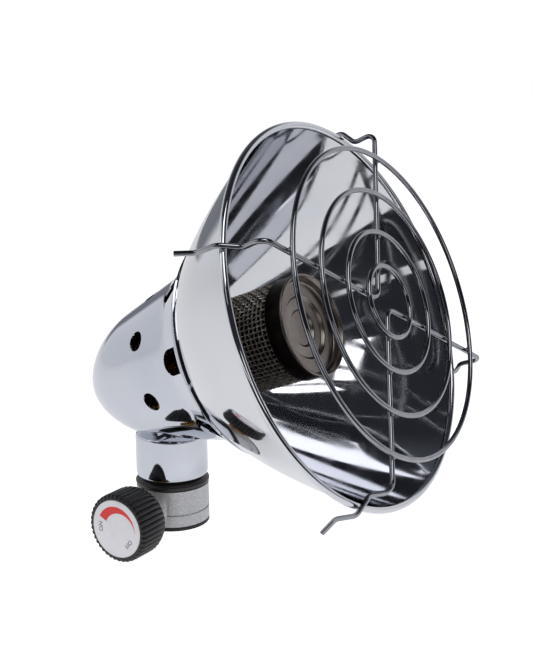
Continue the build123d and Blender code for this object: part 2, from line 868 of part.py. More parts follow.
with BuildPart() as knob_screw:
    with BuildSketch(regulator_plane(dial_seat - screw_head_height)):
        Circle(screw_head_radius)
    extrude(amount=screw_head_height - touch_gap)
    with BuildSketch(regulator_plane(dial_seat - screw_head_height - screw_length)):
        Circle(screw_radius)
    extrude(amount=screw_length)
    with BuildSketch(regulator_plane(dial_seat - screw_head_height / 2)):
        Rectangle(2 * screw_head_radius, screw_radius / 2)
        Rectangle(screw_radius / 2, 2 * screw_head_radius)
    extrude(amount=screw_head_height, mode=Mode.SUBTRACT)
finish(knob_screw.part, "knob_screw")

with BuildPart() as dial_disc:
    with BuildSketch(regulator_plane(dial_seat)):
        Circle(dial_radius)
    extrude(amount=dial_thickness)
finish(dial_disc.part, "dial_disc")
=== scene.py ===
"""Looks of a screw-on camping radiant heater, dressed over its packed construction model."""

import json
import logging
import math
from dataclasses import dataclass
from enum import Enum

import bmesh
import bpy
from mathutils import Matrix, Vector

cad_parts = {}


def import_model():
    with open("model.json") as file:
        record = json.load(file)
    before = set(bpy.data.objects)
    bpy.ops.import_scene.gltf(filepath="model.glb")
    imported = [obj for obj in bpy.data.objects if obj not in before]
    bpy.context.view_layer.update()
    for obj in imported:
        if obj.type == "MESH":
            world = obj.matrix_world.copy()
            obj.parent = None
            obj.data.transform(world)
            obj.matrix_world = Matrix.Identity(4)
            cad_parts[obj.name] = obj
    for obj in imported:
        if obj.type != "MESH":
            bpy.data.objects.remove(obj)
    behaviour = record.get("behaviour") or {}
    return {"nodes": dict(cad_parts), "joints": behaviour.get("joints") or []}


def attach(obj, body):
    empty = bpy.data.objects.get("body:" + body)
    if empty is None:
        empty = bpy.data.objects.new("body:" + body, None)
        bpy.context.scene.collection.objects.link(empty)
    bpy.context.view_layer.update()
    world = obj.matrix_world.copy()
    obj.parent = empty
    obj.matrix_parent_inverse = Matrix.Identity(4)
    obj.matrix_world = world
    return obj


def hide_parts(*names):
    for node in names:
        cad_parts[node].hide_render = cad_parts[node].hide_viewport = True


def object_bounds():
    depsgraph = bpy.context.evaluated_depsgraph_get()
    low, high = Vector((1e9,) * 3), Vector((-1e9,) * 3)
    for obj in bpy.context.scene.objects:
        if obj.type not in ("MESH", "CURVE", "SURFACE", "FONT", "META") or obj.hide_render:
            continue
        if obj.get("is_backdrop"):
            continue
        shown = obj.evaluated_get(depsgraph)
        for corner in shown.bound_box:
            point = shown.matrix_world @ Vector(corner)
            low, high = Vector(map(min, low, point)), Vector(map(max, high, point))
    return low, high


MM = 0.001
FULL_TURN = math.tau
log = logging.getLogger("heater")

Point = tuple[float, float]


class Body(Enum):
    """The rigid bodies of the construction model that pieces ride on."""

    HEATER = "heater"
    KNOB = "knob"
    GUARD = "guard"


def linear(hex_colour: str) -> tuple[float, float, float, float]:
    """Turns an sRGB hex colour into linear light.

    Args:
        hex_colour: Six hex digits after a hash sign.

    Returns:
        Red, green, blue and an alpha of 1.
    """
    channels = [int(hex_colour[i : i + 2], 16) / 255 for i in (1, 3, 5)]
    red, green, blue = (c / 12.92 if c <= 0.04045 else ((c + 0.055) / 1.055) ** 2.4 for c in channels)
    return (red, green, blue, 1.0)


def add_node(
    tree: bpy.types.NodeTree, kind: str, settings: dict | None = None, inputs: dict | None = None
) -> bpy.types.Node:
    """Adds a shader node with its settings, values and links.

    Args:
        tree: The node tree to add to.
        kind: Blender's name for the kind of node.
        settings: Attributes to set on the node.
        inputs: Input sockets by name or place, each with a value or a socket to link from.

    Returns:
        The new node.
    """
    node = tree.nodes.new(kind)
    for key, value in (settings or {}).items():
        setattr(node, key, value)
    for key, value in (inputs or {}).items():
        if isinstance(value, bpy.types.NodeSocket):
            tree.links.new(value, node.inputs[key])
        else:
            node.inputs[key].default_value = value
    return node


def local_frame(origin: Vector, outwards: Vector) -> Matrix:
    """Makes the frame of a turned sub-assembly.

    Args:
        origin: Where the frame's origin lies in the row frame, in metres.
        outwards: The direction of its z axis; its y axis is as near to up as it can be.

    Returns:
        The matrix from the local frame to the row frame.
    """
    z_axis = outwards.normalized()
    x_axis = Vector((0, 0, 1)).cross(z_axis).normalized()
    y_axis = z_axis.cross(x_axis)
    turn = Matrix((x_axis, y_axis, z_axis)).transposed()
    return Matrix.Translation(origin) @ turn.to_4x4()


@dataclass(frozen=True)
class Finish:
    """A surface with a fine grain in its colour, gloss and height.

    Attributes:
        name: What it is and how it was made.
        colour: Its main colour, sRGB hex.
        tint: The colour that its grain mixes in, sRGB hex.
        roughness: Its mean roughness.
        gloss_spread: How far the grain moves the roughness each way.
        metallic: 1 for bare metal.
        ior: Index of refraction; metals keep the default.
        grain_mm: Size of the grain's lumps.
        grain_height_mm: Height of the grain's lumps.
    """

    name: str
    colour: str
    tint: str
    roughness: float
    gloss_spread: float = 0.03
    metallic: float = 0.0
    ior: float = 1.5
    grain_mm: float = 1.0
    grain_height_mm: float = 0.002

    def material(self) -> bpy.types.Material:
        """Returns this finish's material, made the first time it is asked for."""
        found = bpy.data.materials.get(self.name)
        if found:
            return found
        made = bpy.data.materials.new(self.name)
        made.use_nodes = True
        tree = made.node_tree
        shader = tree.nodes["Principled BSDF"]
        shader.inputs["Metallic"].default_value = self.metallic
        shader.inputs["IOR"].default_value = self.ior
        self.dress(tree, shader)
        return made

    def dress(self, tree: bpy.types.NodeTree, shader: bpy.types.Node) -> None:
        """Adds the grain to the shader.

        Args:
            tree: The material's node tree.
            shader: Its principled shader.
        """
        place = add_node(tree, "ShaderNodeTexCoord").outputs["Object"]
        grain = self.noise(tree, place, self.grain_mm)
        self.colour_from(tree, shader, grain)
        self.gloss_from(tree, shader, grain)
        tree.links.new(self.bump(tree, grain, self.grain_height_mm), shader.inputs["Normal"])

    def bump(
        self,
        tree: bpy.types.NodeTree,
        pattern: bpy.types.NodeSocket,
        height_mm: float,
        below: bpy.types.NodeSocket | None = None,
    ) -> bpy.types.NodeSocket:
        """Raises the surface by a pattern.

        Args:
            tree: The material's node tree.
            pattern: The pattern, from 0 to 1.
            height_mm: How high it stands at 1.
            below: The normal that it stands on, unless that is the mesh's own.

        Returns:
            The raised surface's normal.
        """
        inputs = {"Height": pattern, "Distance": height_mm * MM}
        if below is not None:
            inputs["Normal"] = below
        return add_node(tree, "ShaderNodeBump", inputs=inputs).outputs["Normal"]

    def noise(
        self, tree: bpy.types.NodeTree, place: bpy.types.NodeSocket, size_mm: float
    ) -> bpy.types.NodeSocket:
        """Returns a noise whose lumps have about this size.

        Args:
            tree: The material's node tree.
            place: The coordinates, in metres.
            size_mm: The size of the lumps.
        """
        inputs = {"Vector": place, "Scale": 1 / (size_mm * MM), "Detail": 4.0}
        return add_node(tree, "ShaderNodeTexNoise", inputs=inputs).outputs["Fac"]

    def colour_from(
        self, tree: bpy.types.NodeTree, shader: bpy.types.Node, pattern: bpy.types.NodeSocket
    ) -> None:
        """Mixes the tint into the colour by a pattern.

        Args:
            tree: The material's node tree.
            shader: Its principled shader.
            pattern: 0 for the colour and 1 for the tint.
        """
        ramp = add_node(tree, "ShaderNodeValToRGB", inputs={"Fac": pattern})
        ramp.color_ramp.elements[0].position = 0.3
        ramp.color_ramp.elements[0].color = linear(self.colour)
        ramp.color_ramp.elements[1].position = 0.75
        ramp.color_ramp.elements[1].color = linear(self.tint)
        tree.links.new(ramp.outputs["Color"], shader.inputs["Base Color"])

    def gloss_from(
        self, tree: bpy.types.NodeTree, shader: bpy.types.Node, pattern: bpy.types.NodeSocket
    ) -> None:
        """Spreads the roughness by a pattern.

        Args:
            tree: The material's node tree.
            shader: Its principled shader.
            pattern: Low where the surface is smooth and high where it is rough.
        """
        spread = {
            "Value": pattern,
            "From Min": 0.25,
            "From Max": 0.75,
            "To Min": max(self.roughness - self.gloss_spread, 0.0),
            "To Max": self.roughness + self.gloss_spread,
        }
        rough = add_node(tree, "ShaderNodeMapRange", inputs=spread)
        tree.links.new(rough.outputs["Result"], shader.inputs["Roughness"])


@dataclass(frozen=True)
class TurnedFinish(Finish):
    """A metal spun or turned on a lathe, with rings round its axis.

    Attributes:
        axis: The matrix from the piece's local frame to the row frame, given as rows.
        ring_mm: Mean distance between the rings that show.
        ring_height_mm: Their height.
        anisotropy: How far the highlight is drawn out by rings too fine to show.
        ridge_mm: Distance between the ridges that the spinning tool left, if there are any.
        ridge_height_mm: Their height.
    """

    axis: tuple = ()
    ring_mm: float = 1.5
    ring_height_mm: float = 0.0004
    anisotropy: float = 0.0
    ridge_mm: float = 0.0
    ridge_height_mm: float = 0.02

    def dress(self, tree: bpy.types.NodeTree, shader: bpy.types.Node) -> None:
        """Adds the grain, the rings and any ridges.

        Args:
            tree: The material's node tree.
            shader: Its principled shader.
        """
        place = add_node(tree, "ShaderNodeTexCoord").outputs["Object"]
        back = Matrix(self.axis).inverted()
        centred = add_node(
            tree,
            "ShaderNodeMapping",
            inputs={"Vector": place, "Location": back.translation, "Rotation": back.to_euler()},
        )
        flat = add_node(
            tree,
            "ShaderNodeVectorMath",
            {"operation": "MULTIPLY"},
            {0: centred.outputs["Vector"], 1: (1.0, 1.0, 0.0)},
        )
        radius = add_node(
            tree, "ShaderNodeVectorMath", {"operation": "LENGTH"}, {0: flat.outputs["Vector"]}
        ).outputs["Value"]
        ring_inputs = {"W": radius, "Scale": 1 / (self.ring_mm * MM), "Detail": 2.0}
        rings = add_node(
            tree, "ShaderNodeTexNoise", {"noise_dimensions": "1D"}, ring_inputs
        ).outputs["Fac"]
        grain = self.noise(tree, place, self.grain_mm)
        self.gloss_from(tree, shader, rings)
        self.colour_from(tree, shader, grain)
        fine = self.bump(tree, grain, self.grain_height_mm)
        surface = self.bump(tree, rings, self.ring_height_mm, fine)
        if self.ridge_mm:
            surface = self.ridges(tree, radius, rings, surface)
        tree.links.new(surface, shader.inputs["Normal"])
        if self.anisotropy:
            shader.inputs["Anisotropic"].default_value = self.anisotropy
            around = add_node(tree, "ShaderNodeTangent", {"direction_type": "UV_MAP"})
            tree.links.new(around.outputs["Tangent"], shader.inputs["Tangent"])

    def ridges(
        self,
        tree: bpy.types.NodeTree,
        radius: bpy.types.NodeSocket,
        wander: bpy.types.NodeSocket,
        surface: bpy.types.NodeSocket,
    ) -> bpy.types.NodeSocket:
        """Raises narrow ridges round the axis, each of which draws a thin bright or dark arc.

        Args:
            tree: The material's node tree.
            radius: The distance from the axis, in metres.
            wander: A noise that keeps their distances uneven.
            surface: The normal below them.

        Returns:
            The normal with the ridges.
        """
        shift, crest = 9.0, 0.84
        uneven = add_node(tree, "ShaderNodeMath", {"operation": "MULTIPLY"}, {0: wander, 1: shift})
        phase = add_node(
            tree,
            "ShaderNodeMath",
            {"operation": "MULTIPLY_ADD"},
            {0: radius, 1: FULL_TURN / (self.ridge_mm * MM), 2: uneven.outputs["Value"]},
        )
        swing = add_node(tree, "ShaderNodeMath", {"operation": "SINE"}, {0: phase.outputs["Value"]})
        narrow = add_node(
            tree,
            "ShaderNodeMapRange",
            {"interpolation_type": "SMOOTHSTEP"},
            {"Value": swing.outputs["Value"], "From Min": crest, "From Max": 1.0},
        )
        return self.bump(tree, narrow.outputs["Result"], self.ridge_height_mm, surface)


def spin_outline(outline: list[Point], steps: int, closed: bool = True) -> bmesh.types.BMesh:
    """Spins an outline round the z axis.

    Args:
        outline: Radius and height of each point, in millimetres.
        steps: How many steps the full turn takes.
        closed: Whether the last point joins the first.

    Returns:
        The spun shape, in metres.
    """
    bm = bmesh.new()
    line = [bm.verts.new((radius * MM, 0, height * MM)) for radius, height in outline]
    ends = line[1:] + line[:1] if closed else line[1:]
    edges = [bm.edges.new(pair) for pair in zip(line, ends)]
    bmesh.ops.spin(
        bm,
        geom=line + edges,
        cent=(0, 0, 0),
        axis=(0, 0, 1),
        dvec=(0, 0, 0),
        angle=FULL_TURN,
        steps=steps,
        use_merge=True,
        use_duplicate=False,
    )
    bmesh.ops.remove_doubles(bm, verts=bm.verts, dist=MM / 1000)
    bmesh.ops.recalc_face_normals(bm, faces=bm.faces)
    return bm


def bevel_corners(
    bm: bmesh.types.BMesh, width_mm: float, segments: int = 3, sharper_than: float = 28
) -> None:
    """Rounds the edges that are sharper than an angle.

    Args:
        bm: The shape.
        width_mm: Width of the rounding.
        segments: How many faces it takes.
        sharper_than: The least angle that is rounded, in degrees.
    """
    limit = math.radians(sharper_than)
    corners = [e for e in bm.edges if e.is_manifold and e.calc_face_angle(0) > limit]
    bmesh.ops.bevel(
        bm,
        geom=corners,
        offset=width_mm * MM,
        offset_type="OFFSET",
        segments=segments,
        profile=0.5,
        affect="EDGES",
        clamp_overlap=True,
        material=-1,
    )


def map_around(bm: bmesh.types.BMesh) -> None:
    """Gives a spun shape a UV map whose u runs round its z axis.

    Args:
        bm: The shape, still in its local frame.
    """
    layer = bm.loops.layers.uv.new("around")
    for face in bm.faces:
        turns = [math.atan2(loop.vert.co.y, loop.vert.co.x) / FULL_TURN for loop in face.loops]
        highest = max(turns)
        for loop, turn in zip(face.loops, turns):
            wrapped = turn + 1 if highest - turn > 0.5 else turn
            loop[layer].uv = (wrapped, loop.vert.co.z / (100 * MM))


def arc(centre: Point, radius: float, start: float, end: float, steps: int) -> list[Point]:
    """Returns points along an arc.

    Args:
        centre: Its centre.
        radius: Its radius.
        start: The angle it starts at, in degrees.
        end: The angle it ends at, in degrees.
        steps: How many steps it takes.
    """
    angles = [math.radians(start + (end - start) * i / steps) for i in range(steps + 1)]
    return [(centre[0] + radius * math.cos(a), centre[1] + radius * math.sin(a)) for a in angles]


def settle(
    bm: bmesh.types.BMesh,
    name: str,
    place: Matrix,
    finishes: list[Finish],
    body: Body,
    stands_for: tuple[str, ...] = (),
    sharp_angle: float = 40,
) -> bpy.types.Object:
    """Turns a finished shape into a piece in the row frame.

    Args:
        bm: The shape, in its local frame.
        name: The piece's name.
        place: The matrix from the local frame to the row frame.
        finishes: One finish for each material index of the shape.
        body: The body that the piece rides on.
        stands_for: The construction nodes that it replaces.
        sharp_angle: Edges sharper than this, in degrees, stay crisp.

    Returns:
        The piece.
    """
    bmesh.ops.transform(bm, matrix=place, verts=bm.verts)
    mesh = bpy.data.meshes.new(name)
    bm.to_mesh(mesh)
    bm.free()
    return seat(mesh, name, finishes, body, stands_for, sharp_angle)


def seat(
    mesh: bpy.types.Mesh,
    name: str,
    finishes: list[Finish],
    body: Body,
    stands_for: tuple[str, ...] = (),
    sharp_angle: float = 40,
) -> bpy.types.Object:
    """Makes a piece of a mesh that already lies in the row frame.

    Args:
        mesh: The mesh.
        name: The piece's name.
        finishes: One finish for each of its material slots.
        body: The body that the piece rides on.
        stands_for: The construction nodes that it replaces.
        sharp_angle: Edges sharper than this, in degrees, stay crisp.

    Returns:
        The piece.
    """
    mesh.materials.clear()
    for finish in finishes:
        mesh.materials.append(finish.material())
    mesh.shade_smooth()
    mesh.set_sharp_from_angle(angle=math.radians(sharp_angle))
    piece = bpy.data.objects.new(name, mesh)
    bpy.context.scene.collection.objects.link(piece)
    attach(piece, body.value)
    if stands_for:
        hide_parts(*stands_for)
    log.info("%s: %d faces on %s", name, len(mesh.polygons), body.value)
    return piece


def cut(piece: bpy.types.Object, cutter: bmesh.types.BMesh, place: Matrix) -> None:
    """Cuts a shape out of a piece for good.

    Args:
        piece: The piece to cut.
        cutter: The closed shape to take away, in its local frame.
        place: The matrix from that frame to the row frame.
    """
    bmesh.ops.transform(cutter, matrix=place, verts=cutter.verts)
    mesh = bpy.data.meshes.new("cutter")
    cutter.to_mesh(mesh)
    cutter.free()
    tool = bpy.data.objects.new("cutter", mesh)
    bpy.context.scene.collection.objects.link(tool)
    step = piece.modifiers.new("cut", "BOOLEAN")
    step.operation = "DIFFERENCE"
    step.solver = "EXACT"
    step.use_self = True
    step.object = tool
    bpy.context.view_layer.update()
    evaluated = piece.evaluated_get(bpy.context.evaluated_depsgraph_get())
    before = piece.data
    piece.data = bpy.data.meshes.new_from_object(evaluated)
    piece.modifiers.clear()
    piece.data.name = before.name
    bpy.data.meshes.remove(before)
    bpy.data.objects.remove(tool)
    bpy.data.meshes.remove(mesh)


def mesh_of(curve: bpy.types.Curve) -> bpy.types.Mesh:
    """Turns a curve or a text into the mesh that it draws.

    Args:
        curve: The curve, which is removed.

    Returns:
        The mesh.
    """
    drawn = bpy.data.objects.new(curve.name, curve)
    bpy.context.scene.collection.objects.link(drawn)
    bpy.context.view_layer.update()
    mesh = bpy.data.meshes.new_from_object(drawn.evaluated_get(bpy.context.evaluated_depsgraph_get()))
    bpy.data.objects.remove(drawn)
    bpy.data.curves.remove(curve)
    return mesh


def smoothed_copy(
    node: bpy.types.Object,
    finish: Finish,
    body: Body,
    bevel_mm: float = 0.0,
    sharp_angle: float = 30,
) -> bpy.types.Object:
    """Replaces a construction node by a merged copy with smooth faces and rounded edges.

    Args:
        node: The node, whose mesh is loose triangles.
        finish: The copy's finish.
        body: The body that it rides on.
        bevel_mm: Width of the rounding on its edges.
        sharp_angle: Edges sharper than this, in degrees, are rounded or stay crisp.

    Returns:
        The new piece.
    """
    bm = bmesh.new()
    bm.from_mesh(node.data)
    bmesh.ops.remove_doubles(bm, verts=bm.verts, dist=MM / 1000)
    bmesh.ops.dissolve_limit(bm, angle_limit=math.radians(0.5), verts=bm.verts, edges=bm.edges)
    if bevel_mm:
        bevel_corners(bm, bevel_mm, 2, sharp_angle)
    place = Matrix.Identity(4)
    return settle(bm, f"{node.name}_finished", place, [finish], body, (node.name,), sharp_angle)


@dataclass
class Reflector:
    """The spun bowl: a paraboloid with a flat floor and a rolled bead round its rim."""

    place: Matrix
    inside: Finish
    outside: Finish
    rim_radius: float = 75.0
    focus: float = 18.1
    wall: float = 0.8
    floor_radius: float = 24.0
    hole_radius: float = 6.55
    bead_radius: float = 1.4
    bead_start: float = -116.0
    bead_end: float = 209.0
    bead_edge: float = 0.6
    wall_rings: int = 44
    steps: int = 256

    def depth(self, radius: float) -> float:
        """Returns how far behind the rim the wall lies at a radius."""
        return (self.rim_radius**2 - radius**2) / (4 * self.focus)

    def lean(self, radius: float) -> float:
        """Returns the angle between the wall and the bowl's axis at a radius."""
        return math.atan2(2 * self.focus, radius)

    def skin(self, radius: float, grow: float) -> Point:
        """Returns the wall's point at a radius, moved outwards.

        Args:
            radius: The radius on the wall's outside.
            grow: How far the point moves off the outside, in millimetres.
        """
        lean = self.lean(radius)
        return (radius + grow * math.cos(lean), -self.depth(radius) - grow * math.sin(lean))

    def radius_at(self, depth: float) -> float:
        """Returns the radius of the wall's outside at a depth."""
        return math.sqrt(self.rim_radius**2 - depth * 4 * self.focus)

    def build(self) -> None:
        """Builds the bowl, with its inside and outside in their own finishes."""
        floor = -self.depth(self.floor_radius)
        last = self.rim_radius - self.bead_radius / 2
        radii = [
            self.floor_radius + (last - self.floor_radius) * i / self.wall_rings
            for i in range(self.wall_rings + 1)
        ]
        outer = [self.skin(radius, 0) for radius in radii]
        inner = [self.skin(radius, -self.wall) for radius in reversed(radii[1:])]
        bead = arc((self.rim_radius, 0), self.bead_radius, self.bead_start, self.bead_end, 22)
        floor_edge = [(self.floor_radius - 1, floor + self.wall), (self.hole_radius, floor + self.wall)]
        bm = spin_outline([(self.hole_radius, floor)] + outer + bead + inner + floor_edge, self.steps)
        map_around(bm)
        for face in bm.faces:
            centre = face.calc_center_median()
            out = centre.xy.length
            faces_axis = face.normal.xy.dot(centre.xy) < 0 and out < (self.rim_radius - self.bead_edge) * MM
            on_floor = face.normal.z > 0.9 and out < self.floor_radius * MM
            face.material_index = 1 if faces_axis or on_floor else 0
        settle(
            bm,
            "spun_bowl",
            self.place,
            [self.outside, self.inside],
            Body.HEATER,
            ("reflector_bowl",),
        )


@dataclass
class Housing:
    """The cone behind the bowl: lip, flare, cone and rounded nose, with its air openings."""

    place: Matrix
    chrome: Finish
    bowl: Reflector
    wall: float = 0.6
    gap: float = 0.15
    lip_front: float = 47.8
    lip_width: float = 3.0
    seat_radius: float = 45.7
    flare_angle: float = 31.0
    flare_bend: float = 3.5
    cone_depth: float = 62.0
    cone_radius: float = 37.4
    cone_angle: float = 13.2
    nose_start: float = 99.0
    nose_break: float = 126.0
    nose_break_radius: float = 13.6
    opening_count: int = 8
    vent_radius: float = 4.1
    vent_depth: float = 81.4
    vent_first: float = 152.5
    slot_width: float = 10.4
    slot_front: float = 52.7
    slot_rear: float = 64.6
    slot_first: float = 175.5
    spigot_radius: float = 5.05
    meeting: float = 54.0
    steps: int = 224

    def cone_at(self, depth: float) -> float:
        """Returns the cone's radius at a depth."""
        return self.cone_radius - (depth - self.cone_depth) * math.tan(math.radians(self.cone_angle))

    def flare_at(self, depth: float) -> float:
        """Returns the flare's radius at a depth."""
        seat_depth = self.bowl.depth(self.seat_radius)
        return self.seat_radius - (depth - seat_depth) * math.tan(math.radians(self.flare_angle))

    def curve(self, start: Point, start_lean: float, end: Point, steps: int) -> list[tuple]:
        """Returns an arc that leaves its start tangentially.

        Args:
            start: Radius and depth where it starts.
            start_lean: The wall's lean there, in radians.
            end: Radius and depth where it ends.
            steps: How many steps it takes.

        Returns:
            Radius, depth and lean of each point.
        """
        chord = math.atan2(start[0] - end[0], end[1] - start[1])
        turn = 2 * (chord - start_lean)
        radius = math.hypot(end[0] - start[0], end[1] - start[1]) / (2 * math.sin(turn / 2))
        centre = (start[0] - radius * math.cos(start_lean), start[1] - radius * math.sin(start_lean))
        leans = [start_lean + turn * i / steps for i in range(steps + 1)]
        return [
            (centre[0] + radius * math.cos(lean), centre[1] + radius * math.sin(lean), lean)
            for lean in leans
        ]

    def line(self, grow: float) -> list[Point]:
        """Returns the wall's line from the flare's front to the tip.

        Args:
            grow: How far the line moves outwards, in millimetres.
        """
        cone = math.radians(self.cone_angle)
        flare = math.radians(self.flare_angle)
        seat_depth = self.bowl.depth(self.seat_radius)
        corner = (self.flare_at(0) - self.cone_at(0)) / (math.tan(flare) - math.tan(cone))
        bend_front = corner - self.flare_bend * math.cos(flare)
        bend_rear = corner + self.flare_bend * math.cos(cone)
        points = [(self.flare_at(d), d, flare) for d in (seat_depth, (seat_depth + bend_front) / 2)]
        bend_end = (self.cone_at(bend_rear), bend_rear)
        points += self.curve((self.flare_at(bend_front), bend_front), flare, bend_end, 8)
        cone_steps = 14
        for i in range(1, cone_steps):
            depth = bend_rear + (self.nose_start - bend_rear) * i / cone_steps
            points.append((self.cone_at(depth), depth, cone))
        nose_front = (self.cone_at(self.nose_start), self.nose_start)
        nose = self.curve(nose_front, cone, (self.nose_break_radius, self.nose_break), 20)
        points += nose
        lean = nose[-1][2]
        tip_radius = self.nose_break_radius / math.cos(lean)
        centre = self.nose_break - tip_radius * math.sin(lean)
        for i in range(1, 13):
            angle = lean + (math.pi / 2 - lean) * i / 12
            points.append((tip_radius * math.cos(angle), centre + tip_radius * math.sin(angle), angle))
        return [(max(r + grow * math.cos(a), 0.0), -d - grow * math.sin(a)) for r, d, a in points]

    def closed(self, grow: float) -> bmesh.types.BMesh:
        """Returns the housing as a solid closed at its front, to cut other pieces with.

        Args:
            grow: How far its surface moves outwards, in millimetres.
        """
        wall = self.line(grow)
        return spin_outline([(0, wall[0][1])] + wall, self.steps, closed=False)

    def cutters(self) -> bmesh.types.BMesh:
        """Returns the shapes of all air openings, without the hole for the spigot."""
        bm = bmesh.new()
        reach = self.seat_radius * 1.5 * MM
        for index in range(self.opening_count):
            turn = index * 360 / self.opening_count
            vent = self.facing(self.vent_first + turn, self.vent_depth, reach / 2)
            bmesh.ops.create_cone(
                bm,
                cap_ends=True,
                segments=64,
                radius1=self.vent_radius * MM,
                radius2=self.vent_radius * MM,
                depth=reach,
                matrix=vent,
            )
            self.add_slot(bm, self.slot_first + turn, reach)
        return bm

    def add_slot(self, bm: bmesh.types.BMesh, angle: float, reach: float) -> None:
        """Adds the shape of one slot, straight in front and round behind.

        Args:
            bm: The shape to add it to.
            angle: Where it is round the axis, in degrees from the right towards the top.
            reach: How far it stands out from the axis, in metres.
        """
        half = self.slot_width / 2
        centre = self.slot_rear - half
        rounding = arc((0, 0), half, 180, 360, 32)
        front = centre - self.slot_front
        outline = rounding + [(half, front), (-half, front)]
        foot = self.facing(angle, centre, 0)
        verts = [bm.verts.new(foot @ Vector((x * MM, y * MM, 0))) for x, y in outline]
        base = bm.faces.new(verts)
        grown = bmesh.ops.extrude_face_region(bm, geom=[base], use_keep_orig=True)["geom"]
        moved = [item for item in grown if isinstance(item, bmesh.types.BMVert)]
        bmesh.ops.translate(bm, verts=moved, vec=foot.to_3x3() @ Vector((0, 0, reach)))
        bmesh.ops.recalc_face_normals(bm, faces=bm.faces)

    def facing(self, angle: float, depth: float, out: float) -> Matrix:
        """Returns a frame on the axis whose z looks outwards and whose y looks forward.

        Args:
            angle: The direction outwards, in degrees from the right towards the top.
            depth: How far behind the rim it lies, in millimetres.
            out: How far out from the axis it lies, in metres.
        """
        turned = math.radians(angle)
        outwards = Vector((math.cos(turned), math.sin(turned), 0))
        forward = Vector((0, 0, 1))
        turn = Matrix((forward.cross(outwards), forward, outwards)).transposed()
        return Matrix.Translation(forward * -depth * MM + outwards * out) @ turn.to_4x4()

    def build(self) -> None:
        """Builds the housing and cuts its openings."""
        lip_rear = self.lip_front + self.lip_width
        lip_depths = [self.lip_front + self.lip_width * i / 4 for i in range(5)]
        lip = [self.bowl.skin(self.bowl.radius_at(d), self.gap + self.wall) for d in lip_depths]
        outer = [p for p in self.line(0) if -p[1] > lip_rear]
        flare = [(self.flare_at(lip_rear + 0.2), -lip_rear - 0.2)]
        inner = [p for p in reversed(self.line(-self.wall)) if -p[1] > self.meeting]
        under_depths = (self.meeting - 0.4, 51.6, 49.6, self.lip_front)
        under = [self.bowl.skin(self.bowl.radius_at(d), self.gap) for d in under_depths]
        bm = spin_outline(lip + flare + outer + inner + under, self.steps)
        chrome, stands_for = [self.chrome], ("rear_housing",)
        piece = settle(bm, "pierced_housing", self.place, chrome, Body.HEATER, stands_for)
        cut(piece, self.cutters(), self.place)
        spigot = bmesh.new()
        bmesh.ops.create_cone(
            spigot,
            cap_ends=True,
            segments=48,
            radius1=self.spigot_radius * MM,
            radius2=self.spigot_radius * MM,
            depth=100 * MM,
        )
        cut(piece, spigot, Matrix.Identity(4))
        piece.data.set_sharp_from_angle(angle=math.radians(40))


